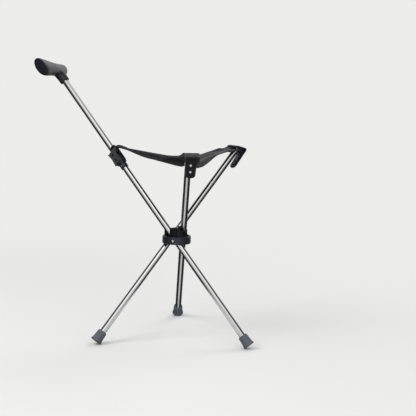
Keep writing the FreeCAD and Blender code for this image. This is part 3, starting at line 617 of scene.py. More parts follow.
# The belly's share of its set depth at the clip, what it gains towards the short legs, and between which
# distances past the hub's axis it gains it
BELLY_SHARE, BELLY_GAIN, BELLY_FROM, BELLY_TO = 0.8, 0.35, -0.13, 0.05
# Distances from a corner: where the cloth becomes slack, where the corner lifts it, and where its folds are
SLACK_REACH = (0.004, 0.09)
LIFT_REACH = (0.01, 0.05, 0.07, 0.16)
FOLD_REACH = (0.012, 0.05, 0.08, 0.17)
# How far each corner lifts the cloth and how deep its folds are, in the order of LEGS
CORNER_LIFTS = (0.003, 0.006, 0.017)
FOLD_DEPTHS = (0.00204, 0.0034, 0.00272)
# How closely folds follow round a corner, how far and closely they sway, and shifts by the corner's X, which
# make the corners differ
FOLD_WAVES, FOLD_SWAY, SWAY_WAVES, SWAY_SHIFT, FOLD_SHIFT = 9, 0.9, 4, 60, 40
# The pouch beside the front strap: its middle and spread along the end hem, and where it ends inside it
POUCH_PLACE, POUCH_SPREAD, POUCH_END = 0.42, 0.2, (0.015, 0.065)
# The near edge's long fold: its run along the edge, its distance from the edge by the front strap, how fast
# that grows away from the strap, and the share of the edge from where it does
NEAR_FOLD_RUN, NEAR_FOLD_INSET, NEAR_FOLD_SLANT, NEAR_FOLD_START = (0.48, 0.7, 0.93, 1.0), 0.020, 0.055, 0.95
# Its furrow's depth and half width, and its ridge's height, half width and distance behind the furrow
FURROW_DEPTH, FURROW_HALF = 0.0032, 0.0065
RIDGE_HEIGHT, RIDGE_HALF, RIDGE_BEHIND = 0.001, 0.007, 0.013
# The cloth's small unevenness: noise cells to a metre, their height, and the slice of the noise they are in
RUMPLES = ((24, 0.0013, 3.1), (66, 0.0002, 9.7))


def near_fold(share, inside):
    """The long fold that runs from the front strap below the near edge."""
    crest = inside - NEAR_FOLD_INSET - NEAR_FOLD_SLANT * max(NEAR_FOLD_START - share, 0)
    furrow = FURROW_DEPTH * bell(crest, FURROW_HALF)
    return between(share, NEAR_FOLD_RUN) * (furrow - RIDGE_HEIGHT * bell(crest - RIDGE_BEHIND, RIDGE_HALF))


def corner_fold(point, corner):
    """The folds that run out from a corner, from -1 to 1."""
    away = point - corner
    away.z = 0
    heading = HUB_AXIS - corner
    heading.z = 0
    bearing = heading.angle(away, 0) if away.length > HAIR else 0
    turn = math.copysign(bearing, heading.cross(away).z)
    sway = FOLD_SWAY * math.sin(turn * SWAY_WAVES + corner.x * SWAY_SHIFT)
    return math.sin(turn * FOLD_WAVES + sway + corner.x * FOLD_SHIFT) * between(away.length, FOLD_REACH)


def hang(point, settings):
    """How far the cloth hangs below its level patch."""
    inside = [max(hem.inside(point), 0) for hem in HEMS]
    turned_down = 1 - math.exp(-min(inside) / settings.drop)
    slack = smooth_step(min((point - corner).length for corner in STRAP_ENDS), *SLACK_REACH)
    gain = BELLY_GAIN * smooth_step(point.x, HUB_AXIS.x + BELLY_FROM, HUB_AXIS.x + BELLY_TO)
    depth = settings.belly * turned_down * slack * (BELLY_SHARE + gain)
    pouch = settings.pouch * bell(END_HEM.share(point) - POUCH_PLACE, POUCH_SPREAD)
    depth += pouch * (1 - math.exp(-inside[2] / settings.drop)) * (1 - smooth_step(inside[2], *POUCH_END))
    depth += near_fold(NEAR_HEM.share(point), inside[0])
    for corner, lift, fold in zip(STRAP_ENDS, CORNER_LIFTS, FOLD_DEPTHS):
        reach = math.hypot(point.x - corner.x, point.y - corner.y)
        depth += (fold * corner_fold(point, corner) - lift * between(reach, LIFT_REACH)) * turned_down
    for cells, height, level in RUMPLES:
        place = Vector((point.x * cells, point.y * cells, level))
        depth -= noise.noise(place) * height * slack * turned_down
    return depth


CLOTH_ROWS, CLOTH_COLUMNS, GRID_HALF = 150, 130, 0.5
# Half the width over which the hem's thickness ends
HEM_STEP = 0.0008


def cloth_mesh(settings):
    shape = bmesh.new()
    bmesh.ops.create_grid(shape, x_segments=CLOTH_ROWS, y_segments=CLOTH_COLUMNS, size=GRID_HALF)
    weave_map = shape.loops.layers.uv.new("cloth")
    hem_map = shape.loops.layers.uv.new("hem")
    hem_layer = shape.verts.layers.float.new("hem")
    places = {}
    for vert in shape.verts:
        point = cloth_point(vert.co.x + GRID_HALF, vert.co.y + GRID_HALF)
        inside, run = min((max(hem.inside(point), 0), hem.run(point)) for hem in HEMS)
        point.z -= hang(point, settings)
        vert.co = point
        vert[hem_layer] = 1 - smooth_step(inside, settings.hem_width - HEM_STEP,
                                          settings.hem_width + HEM_STEP)
        places[vert] = ((point.x, point.y), (run, inside))
    for face in shape.faces:
        for loop in face.loops:
            loop[weave_map].uv, loop[hem_map].uv = places[loop.vert]
    bmesh.ops.recalc_face_normals(shape, faces=shape.faces)
    return shape


# The cloth is cut along lines from the hub's axis into a middle part and an outer part for each leg. These
# are the distances from the axis where the outer parts begin, where they would follow a leg wholly, and
# where the handled leg's outer part begins and ends to give way to the cloth's end at the clip
STILL_REACH, CORNER_REACH, CLIP_START, CLIP_END = 0.045, 0.188, 0.150, 0.168
# The height of the points that the cuts go by
CLOTH_LEVEL = 0.45
# What the sag takes up
HOLDERS = {"handle": "hook_flap", "front": "front_corner_tab", "rear": "rear_corner_tab"}


def along_ray(leg, reach):
    """A point over the hub's axis or towards a leg's corner, at the cloth's height."""
    point = HUB_AXIS + RAYS[leg] * reach
    return Vector((point.x, point.y, CLOTH_LEVEL))


class OBJECT_OT_stick_seat_cloth(bpy.types.Operator):
    """Hang the cloth seat between its three corners"""
    bl_idname = "object.stick_seat_cloth"
    bl_label = "Seat cloth"

    def execute(self, context):
        whole = self.whole_cloth(context.scene.stick_seat_cloth)
        for leg in LEGS:
            ray = RAYS[leg]
            still = along_ray(leg, STILL_REACH)
            sides = [(along_ray(leg, 0), RAYS[other] - ray) for other in LEGS if other != leg]
            inner = self.part(whole, "seat_cloth_middle_" + leg, leg, sides + [(still, ray)],
                              HOLDERS.values())
            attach(inner, "hub")
            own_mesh(inner)
            outer = sides + [(still, -ray)]
            if leg == "handle":
                start = along_ray(leg, CLIP_START)
                clip = self.part(whole, "seat_cloth_clip_end", leg, sides + [(start, -ray)], [HOLDERS[leg]])
                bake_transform(clip)
                outer.append((start, ray))
            corner = self.part(whole, "seat_cloth_" + leg, leg, outer, [HOLDERS[leg]])
            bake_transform(corner)
        bpy.data.meshes.remove(whole)
        return {"FINISHED"}

    def whole_cloth(self, settings):
        """The cloth's final mesh, thicker along its hems."""
        piece = new_piece("whole_cloth", cloth_mesh(settings), "woven cloth")
        thick = piece.vertex_groups.new(name="hem")
        values = [item.value for item in piece.data.attributes["hem"].data]
        plain = settings.thickness / (settings.thickness + settings.hem_extra)
        for index, value in enumerate(values):
            thick.add([index], plain + (1 - plain) * value, "REPLACE")
        modify(piece, "Thickness", "SOLIDIFY", thickness=settings.thickness + settings.hem_extra, offset=-1,
               vertex_group="hem")
        final = final_mesh(piece)
        bpy.data.meshes.remove(piece.data)
        return final

    def part(self, whole, name, leg, planes, held_by):
        """The part of the cloth behind all the planes, each a point and a normal."""
        shape = bmesh.new()
        shape.from_mesh(whole)
        for point, normal in planes:
            cut(shape, point, normal)
        piece = new_piece(name, shape, "woven cloth", smooth_angle=60)
        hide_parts("seat_sling")
        return piece


# Steel pieces, in millimetres in their leg's frame unless a name or comment says otherwise

TUBE_TOPS = {"handle": 548.0, "front": 297.0, "rear": 297.0}
TUBE_FOOT, TUBE_RADIUS, TUBE_BORE, TUBE_RIM = -311.2, 8.0, 6.8, 0.3
# How far the rings of vertices stay clear of the pivot hole, and in metres the hole's radius and the drill's
# length
HOLE_CLEAR = 9.0
HOLE_RADIUS, DRILL_LENGTH = 0.00255, 0.05
# A domed head's outline, as shares of its radius and height
RIVET_HEAD = ((1.0, 0.0), (0.99, 0.22), (0.93, 0.48), (0.8, 0.72), (0.6, 0.89), (0.33, 0.98), (0.0, 1.0))
# How far down a cap's arm its rivets are, and how far up the handled leg the flap's
ARM_RIVETS, FLAP_RIVETS = (20, 40), (256, 272)
# A back head's flat and widest part, as shares of its front head, and the height in metres below which a
# strap rivet is blackened
BACK_HEAD_FLAT, BACK_HEAD_WIDE, BACK_HEAD_LEVEL = 0.6, 0.8, -0.0028


def drill(piece, place, material):
    """Cut the pivot's hole along the place's Y axis through a piece."""
    shape = bmesh.new()
    bmesh.ops.create_cone(shape, cap_ends=True, segments=32, radius1=HOLE_RADIUS, radius2=HOLE_RADIUS,
                          depth=DRILL_LENGTH, matrix=place @ Matrix.Rotation(math.radians(90), 4, "X"))
    cutter = new_piece("cutter", shape, material)
    modify(piece, "Hole", "BOOLEAN", object=cutter, solver="EXACT")
    drilled = final_mesh(piece)
    piece.modifiers.clear()
    piece.data = drilled
    bpy.data.meshes.remove(cutter.data)


def rivet(radius, start, face, head_radius, head_height, back=None):
    """A rivet along Z: a shank from start to face, a domed head on the face, and a set head at its back."""
    profile = [(0, start), (radius, start)]
    if back:
        wide = head_radius * BACK_HEAD_WIDE
        profile = [(0, start - back), (head_radius * BACK_HEAD_FLAT, start - back), (wide, start - back / 2),
                   (wide, start), (radius, start)]
    profile.append((radius, face))
    profile += [(head_radius * across, face + head_height * up) for across, up in RIVET_HEAD]
    return turned(profile, steps=40)


class OBJECT_OT_stick_seat_tubes(bpy.types.Operator):
    """Draw the three steel tubes, each drilled for its pivot"""
    bl_idname = "object.stick_seat_tubes"
    bl_label = "Tubes"

    def execute(self, context):
        for leg, node in (("handle", "handle_tube"), ("front", "front_leg_tube"), ("rear", "rear_leg_tube")):
            top = TUBE_TOPS[leg]
            eased = TUBE_RADIUS - TUBE_RIM
            outline = [(TUBE_BORE, TUBE_FOOT), (eased, TUBE_FOOT), (TUBE_RADIUS, TUBE_FOOT + TUBE_RIM),
                       (TUBE_RADIUS, -HOLE_CLEAR), (TUBE_RADIUS, HOLE_CLEAR), (TUBE_RADIUS, top - TUBE_RIM),
                       (eased, top), (TUBE_BORE, top), (TUBE_BORE, HOLE_CLEAR), (TUBE_BORE, -HOLE_CLEAR)]
            steel = leg + " tube steel"
            shape = moved(turned(outline, steps=96, ring=True), LEG_FRAMES[leg])
            piece = new_piece(leg + "_steel_tube", shape, steel)
            drill(piece, LEG_FRAMES[leg], steel)
            settle(piece, leg + "_leg", node)
        return {"FINISHED"}


class OBJECT_OT_stick_seat_rivets(bpy.types.Operator):
    """Set the pivot rivets in the ring and the rivets in the corner pieces"""
    bl_idname = "object.stick_seat_rivets"
    bl_label = "Rivets"

    def execute(self, context):
        for leg in LEGS:
            pin = rivet(radius=2.5, start=-13.4, face=17.78, head_radius=4.2, head_height=2.0)
            turn = OUTWARD[leg].to_track_quat("Z", "Y").to_matrix().to_4x4()
            place = Matrix.Translation(PIVOTS[leg]) @ turn
            self.set_rivets(leg + "_pivot_pin", pin, place, leg + "_pivot_rivet", "hub", "rivet steel")
        for leg in ("front", "rear"):
            both = bmesh.new()
            for down in ARM_RIVETS:
                shape = rivet(radius=1.75, start=-3.0, face=2.5, head_radius=3.6, head_height=1.6, back=1.6)
                for face in shape.faces:
                    face.material_index = int(face.calc_center_median().z < BACK_HEAD_LEVEL)
                gather(both, moved(shape, arm_place(down)))
            self.set_rivets(leg + "_strap_rivets", both, LEG_FRAMES[leg], leg + "_tab_rivets", leg + "_leg",
                            "rivet steel")
        both = bmesh.new()
        for height in FLAP_RIVETS:
            shape = rivet(radius=1.75, start=12.35, face=17.1, head_radius=3.2, head_height=1.4)
            place = Matrix.Translation((0, 0, height / 1000)) @ Matrix.Rotation(math.radians(-90), 4, "X")
            gather(both, moved(shape, place))
        self.set_rivets("flap_studs", both, LEG_FRAMES["handle"], "flap_rivets", "seat_hook",
                        "blackened steel")
        return {"FINISHED"}

    def set_rivets(self, name, shape, place, node, body, material):
        piece = new_piece(name, moved(shape, place), material)
        piece.data.materials.append(MATERIALS["blackened steel"])
        settle(piece, body, node)


# The stiff straps at the two short legs, in millimetres in the leg's frame

ARM_FACE, ARM_TOP, ARM_SPLAY = 19.0, 313.0, math.radians(4.5)
TAB_DROP, TAB_END_RADIUS, TAB_SLOPE = 60.0, 10.0, 0.48
# Where the strap's underside starts on the cap, how far its middle stands off, and its bend over the arm:
# how far above the arm's top it turns, and how far before and after that it starts and ends
CAP_START, STRAP_OFF = (-6.0, 301.0), 1.25
BEND_ABOVE, BEND_REACH = 2.2, 7.0
# The rear strap's lip: its end over the cloth and the point it turns round
LIP_END, LIP_TURN = (-13.5, 294.0), (-10.0, 300.4)
# How finely a strap is divided, and how much its columns crowd towards its edges
LIP_STEPS, BEND_STEPS, ARM_STEPS, STRAP_COLUMNS, EDGE_CROWDING = 8, 14, 60, 22, 0.4
# A strap's two edges low on the arm. Up the leg they first spread evenly, then each flares on its own
STRAP_LOW, STRAP_HIGH = -7.0, 17.0
SPREAD_BY, SPREAD_HEIGHTS = 1.0, (255, 290)
LOW_FLARE, LOW_FLARE_HEIGHTS = 1.5, (292, 308)
HIGH_FLARE, HIGH_FLARE_HEIGHTS = 7.5, (284, 309)
# Nearer the tube than this a strap lies on the cap, at its full width
ON_CAP = 8
STRAP_THICKNESS, STRAP_RIM = 0.0024, 0.0008


def beside_arm(out, down):
    """A point (X, Z) so far out from the cap's arm and so far down it."""
    return (ARM_FACE + down * math.sin(ARM_SPLAY) + out * math.cos(ARM_SPLAY),
            ARM_TOP - down * math.cos(ARM_SPLAY) + out * math.sin(ARM_SPLAY))


def arm_place(down):
    """From a rivet's own frame (Z out through the arm) to a short leg's."""
    across, up = beside_arm(0, down)
    matrix = Matrix.Rotation(math.radians(90) - ARM_SPLAY, 4, "Y")
    matrix.translation = Vector((across / 1000, CORNER_SHIFT / 1000, up / 1000))
    return matrix


def line(first, last, steps):
    """Points from first to just before last."""
    return [tuple(first[i] + (last[i] - first[i]) * step / steps for i in (0, 1)) for step in range(steps)]


def curve(first, turn, last, steps):
    """Points from first to just before last, on a curve drawn towards turn."""
    shares = [step / steps for step in range(steps)]
    return [tuple(first[i] * (1 - t) ** 2 + 2 * turn[i] * t * (1 - t) + last[i] * t * t for i in (0, 1))
            for t in shares]


def strap_path(leg):
    """The middle of the strap's thickness (X, Z): up over the cap, round the bend and down the arm; the rear
    one starts with a lip down over the cloth."""
    rise = math.hypot(1, TAB_SLOPE)
    inner = (CAP_START[0] - STRAP_OFF * TAB_SLOPE / rise, CAP_START[1] + STRAP_OFF / rise)
    bend = beside_arm(STRAP_OFF, -BEND_ABOVE)
    foot = beside_arm(STRAP_OFF, TAB_DROP)
    before = (bend[0] - BEND_REACH / rise, bend[1] - BEND_REACH * TAB_SLOPE / rise)
    after = (bend[0] + BEND_REACH * math.sin(ARM_SPLAY), bend[1] - BEND_REACH * math.cos(ARM_SPLAY))
    lip = curve(LIP_END, LIP_TURN, inner, LIP_STEPS) if leg == "rear" else []
    return (lip + line(inner, before, BEND_STEPS) + curve(before, bend, after, BEND_STEPS)
            + line(after, foot, ARM_STEPS) + [foot])


def strap_sides(height, left):
    """The strap's two edges (Y) at a height up the leg, given how much of its length is left."""
    spread = SPREAD_BY * smooth_step(height, *SPREAD_HEIGHTS)
    low = STRAP_LOW - spread - LOW_FLARE * smooth_step(height, *LOW_FLARE_HEIGHTS)
    high = STRAP_HIGH + spread + HIGH_FLARE * smooth_step(height, *HIGH_FLARE_HEIGHTS) ** 2
    if left < TAB_END_RADIUS:
        rounded = TAB_END_RADIUS - math.sqrt(max(TAB_END_RADIUS ** 2 - (TAB_END_RADIUS - left) ** 2, 0))
        return low + rounded, high - rounded
    return low, high


def strap_mesh(leg):
    """A grid along the strap, with its distance from the edge and along the edge as a map."""
    path = strap_path(leg)
    runs = [0]
    for first, second in zip(path, path[1:]):
        runs.append(runs[-1] + math.dist(first, second))
    shape = bmesh.new()
    layer = shape.loops.layers.uv.new("strap")
    rows, places = [], {}
    for (across, up), run in zip(path, runs):
        left = runs[-1] - run
        low, high = strap_sides(up if across > ON_CAP else ARM_TOP, left)
        row = []
        for column in range(STRAP_COLUMNS + 1):
            share = column / STRAP_COLUMNS
            share = smooth_step(share, 0, 1) * EDGE_CROWDING + share * (1 - EDGE_CROWDING)
            side = low + (high - low) * share
            vert = shape.verts.new((across / 1000, side / 1000, up / 1000))
            places[vert] = (min(side - low, high - side, left) / 1000, run / 1000)
            row.append(vert)
        rows.append(row)
    fill_rows(shape, rows)
    for face in shape.faces:
        for loop in face.loops:
            loop[layer].uv = places[loop.vert]
    return shape


class OBJECT_OT_stick_seat_straps(bpy.types.Operator):
    """Bend the stiff straps over the caps of the short legs"""
    bl_idname = "object.stick_seat_straps"
    bl_label = "Straps"

    def execute(self, context):
        for leg in ("front", "rear"):
            shape = moved(strap_mesh(leg), LEG_FRAMES[leg])
            piece = new_piece(leg + "_strap", shape, "strap leatherette", smooth_angle=60)
            modify(piece, "Thickness", "SOLIDIFY", thickness=STRAP_THICKNESS, offset=0)
            modify(piece, "Worn rim", "BEVEL", width=STRAP_RIM, segments=3, limit_method="ANGLE",
                   angle_limit=math.radians(50))
            settle(piece, leg + "_leg", leg + "_corner_tab")
        return {"FINISHED"}


# Moulded pieces

# The cheek's corners in millimetres: along the leg's swing, outward and up, from the hub axis at the pivots.
# In metres, how much lower its top is on the side of the swing, and how far its edges are rounded
CHEEK_LOW, CHEEK_HIGH = (-15.0, 25.0, 2.0), (5.0, 30.4, 35.5)
CHEEK_SLOPE, CHEEK_EASE = 0.004, 0.0022
# The middle of the strap over the clip's top, in the handled leg's frame (X, Z), with half its thickness
CORNER_STRAP = ((-16.0, 266.0, 1.6), (-16.5, 272.0, 3.4), (-18.0, 278.0, 4.4), (-21.5, 281.5, 4.8),
                (-25.5, 280.0, 4.6), (-30.5, 274.5, 4.0), (-36.5, 267.5, 3.0), (-44.0, 260.5, 1.4))
# Its middle and half its width (Y), and how far up the leg the flap turns black
CORNER_STRAP_Y, CORNER_STRAP_HALF, FLAP_BLACK = 12.4, 4.9, 284.0


class OBJECT_OT_stick_seat_hub(bpy.types.Operator):
    """Round the edges of the hub's core and ring, and stand a cheek outside the handled leg"""
    bl_idname = "object.stick_seat_hub"
    bl_label = "Hub"

    def execute(self, context):
        eased_copy("hub_core", "core plastic", 0.9, "hub")
        eased_copy("hub_ring", "hub plastic", 1.1, "hub")
        self.cheek()
        return {"FINISHED"}

    def cheek(self):
        """The tall cheek outside the handled leg, which hides where that tube enters the ring."""
        outward = OUTWARD["handle"]
        low, high = Vector(CHEEK_LOW) / 1000, Vector(CHEEK_HIGH) / 1000
        size = high - low
        shape = bmesh.new()
        bmesh.ops.create_cube(shape, size=1.0, matrix=Matrix.Translation((low + high) / 2)
                              @ Matrix.Diagonal((*size, 1)))
        for vert in shape.verts:
            if vert.co.z > size.z / 2 and vert.co.x > 0:
                vert.co.z -= CHEEK_SLOPE
        bmesh.ops.bevel(shape, geom=shape.edges[:], offset=CHEEK_EASE, offset_type="OFFSET", segments=4,
                        profile=0.5, affect="EDGES", material=-1)
        moved(shape, frame_matrix(outward.cross(UP), outward, UP, HUB_AXIS))
        piece = new_piece("handle_pivot_cheek", shape, "core plastic", smooth_angle=60)
        settle(piece, "hub")


class OBJECT_OT_stick_seat_corners(bpy.types.Operator):
    """Round the edges of the caps, the collar, the clip and its flap, and lay the strap over the clip"""
    bl_idname = "object.stick_seat_corners"
    bl_label = "Corners"

    def execute(self, context):
        for node, body in (("front_end_cap", "front_leg"), ("rear_end_cap", "rear_leg"),
                           ("shaft_collar", "handle_leg"), ("corner_hook", "seat_hook")):
            eased_copy(node, "hub plastic", 0.8, body)
        self.blacken_top(eased_copy("hook_flap", "corner leatherette", 0.8, "seat_hook"))
        self.strap()
        return {"FINISHED"}

    def blacken_top(self, piece):
        """The flap is black where the strap bends into it, above a line across it."""
        piece.data.materials.append(MATERIALS["core plastic"])
        level = on_leg("handle", 0, 0, FLAP_BLACK)
        along = (on_leg("handle", 0, 0, 1) - on_leg("handle", 0, 0, 0)).normalized()
        shape = bmesh.new()
        shape.from_mesh(piece.data)
        cut(shape, level, along, cleared=False)
        for face in shape.faces:
            if (face.calc_center_median() - level).dot(along) > 0:
                face.material_index = 1
        shape.to_mesh(piece.data)
        shape.free()

    def strap(self):
        """The rounded strap that joins the cloth's corner to the clip's flap."""
        path = [Vector((x, z)) for x, z, half in CORNER_STRAP]
        rings = []
        for place, middle in enumerate(path):
            half = CORNER_STRAP[place][2]
            along = (path[min(place + 1, len(path) - 1)] - path[max(place - 1, 0)]).normalized()
            ring = []
            for turn in turns(steps=28):
                off = Vector((-along.y, along.x)) * (half * math.sin(turn))
                side = CORNER_STRAP_Y + CORNER_STRAP_HALF * math.cos(turn)
                ring.append(on_leg("handle", middle.x + off.x, side, middle.y + off.y))
            rings.append(ring)
        piece = new_piece("corner_strap", skin(rings), "core plastic", smooth_angle=60)
        modify(piece, "Rounded", "SUBSURF", levels=2, render_levels=2)
        settle(piece, "seat_hook")


# A foot's outline (radius, height) in millimetres in its leg's frame
FOOT_PROFILE = [
    (0, -320.7), (13.6, -320.7), (14.5, -320.4), (14.8, -319.8), (14.75, -319.0), (14.3, -317.8),
    (13.6, -316.0), (12.9, -312.5), (12.4, -308.5), (12.15, -303.0), (12.1, -298.0), (11.9, -295.2),
    (11.35, -294.7), (11.3, -293.9), (11.2, -292.6), (10.9, -291.95), (10.2, -291.7), (8.05, -291.7),
    (8.05, -311.0), (0, -311.0),
]


class OBJECT_OT_stick_seat_feet(bpy.types.Operator):
    """Turn the rubber feet, each worn flat on the floor"""
    bl_idname = "object.stick_seat_feet"
    bl_label = "Feet"

    def execute(self, context):
        for leg in LEGS:
            shape = moved(turned(FOOT_PROFILE), LEG_FRAMES[leg])
            cut(shape, (0, 0, 0), (0, 0, -1))
            piece = new_piece(leg + "_rubber_foot", shape, "foot rubber", smooth_angle=30)
            settle(piece, leg + "_leg", leg + "_ferrule")
        return {"FINISHED"}


# The grip in millimetres, in the handled leg's frame turned on its tube: the height of its crown, ovals
# across its bar (Y, depth, width, dip below the crown), and ovals up its neck (height, half Y, half X)
GRIP_CROWN = 574.0
GRIP_TURN = math.radians(10)
GRIP_STATIONS = (
    (96.0, 47.5, 25.5, 1.6), (95.0, 49.4, 27.4, 0.8), (93.0, 51.0, 29.2, 0.3), (88.0, 52.0, 30.0, 0.0),
    (74.0, 49.6, 30.2, 0.6), (57.0, 45.2, 30.0, 1.8), (38.0, 41.0, 29.2, 3.0), (19.0, 38.2, 28.2, 3.6),
    (0.0, 37.8, 28.0, 3.0), (-17.0, 37.4, 28.0, 1.6), (-30.0, 35.2, 27.6, 0.5), (-37.0, 32.6, 26.6, 0.3),
    (-41.0, 28.6, 24.0, 1.2), (-43.2, 22.6, 19.4, 3.2), (-44.2, 14.0, 12.0, 7.0), (-44.4, 4.0, 3.6, 11.5),
)
NECK_STATIONS = (
    (513.5, 11.8, 11.8), (514.0, 12.4, 12.4), (515.5, 12.7, 12.6), (521.5, 13.3, 12.6), (529.0, 16.0, 12.7),
    (535.6, 22.4, 12.9), (542.0, 28.4, 13.0),
)
# The plate in the heel: a rounded rim round a shallow dish, painted near-black as the shade on the grip's
# end face
HEEL_STATIONS = (
    (93.5, 48.6, 26.9, 1.3), (95.6, 48.4, 26.6, 1.4), (96.5, 47.6, 25.8, 1.8), (96.9, 46.0, 24.2, 2.6),
    (97.0, 40.0, 18.6, 5.6), (96.6, 39.2, 17.8, 6.0), (96.6, 4.0, 2.0, 23.5),
)


def grip_rings(stations):
    """Oval rings across the grip's length."""
    rings = []
    for reach, depth, width, dip in stations:
        middle = GRIP_CROWN - dip - depth / 2
        rings.append([Vector((width / 2 * math.cos(turn), reach, middle + depth / 2 * math.sin(turn))) / 1000
                      for turn in turns(steps=96)])
    return rings


class OBJECT_OT_stick_seat_grip(bpy.types.Operator):
    """Mould the grip: a bar and a neck grown into one skin, with a plate set in its heel"""
    bl_idname = "object.stick_seat_grip"
    bl_label = "Grip"

    def execute(self, context):
        place = LEG_FRAMES["handle"] @ Matrix.Rotation(GRIP_TURN, 4, "Z")
        whole = skin(grip_rings(GRIP_STATIONS))
        gather(whole, skin([[Vector((across * math.cos(turn), along * math.sin(turn), height)) / 1000
                             for turn in turns(steps=72)] for height, along, across in NECK_STATIONS]))
        piece = new_piece("grip_moulding", moved(whole, place), "grip rubber", smooth_angle=180)
        modify(piece, "One skin", "REMESH", mode="VOXEL", voxel_size=0.0009, use_smooth_shade=True)
        modify(piece, "Eased", "SMOOTH", factor=0.5, iterations=9)
        settle(piece, "handle_leg", "handle_grip")
        heel = moved(skin(grip_rings(HEEL_STATIONS)), place)
        # The heel plate's near-black is painted shade on the end face
        settle(new_piece("grip_heel_plate", heel, "heel painted shade", smooth_angle=35), "handle_leg")
        return {"FINISHED"}


# Studio

# Degrees round the hub, seen from above
CAMERA_BEARING = 300 - 3.9
# Dark boards that only polished metal shows: how far away and high they are, and by their bearing from the
# camera's where each fades in and out. The floor's lie round the front foot
WALL_REACH, WALL_HEIGHT, FLOOR_START, FLOOR_HEIGHT = 1.5, 3.4, 0.01, 0.003
WALL_SHADE = (34, 70, 112, 136)
FLOOR_SHADE = (10, 34, 160, 179)
BOARD_STEPS = 30
# A bright board above the camera: its half width in degrees, and how far and high its two edges are
STRIP_HALF, STRIP_LOW, STRIP_HIGH = 20.0, (2.6, 1.55), (2.2, 3.0)
# Each lamp's place, size and power
LAMPS = {
    "key": ((-0.9, -1.6, 2.2), 1.4, 26),
    "fill": ((1.8, -1.2, 1.3), 1.6, 9),
    "back": ((0.4, 1.8, 1.9), 1.4, 14),
}
LAMP_AIM = Vector((0, 0, 0.35))
# The camera's turn round the hub, its place before that turn, its angles, its film and its lens
CAMERA_TURN = math.radians(30)
CAMERA_PLACE = (-0.0933, -2.5, 0.664)
CAMERA_YAW, CAMERA_PITCH, CAMERA_ROLL = math.radians(3.91), math.radians(7.57), math.radians(1.6)
FILM_WIDTH, LENS_SHARE = 36, 1000 / 416


def around(bearing, reach, height, centre=HUB_AXIS):
    """A point of the studio, by its bearing from the camera's, round the hub or another centre."""
    turn = math.radians(CAMERA_BEARING + bearing)
    return Vector((centre.x + reach * math.cos(turn), centre.y + reach * math.sin(turn), height))


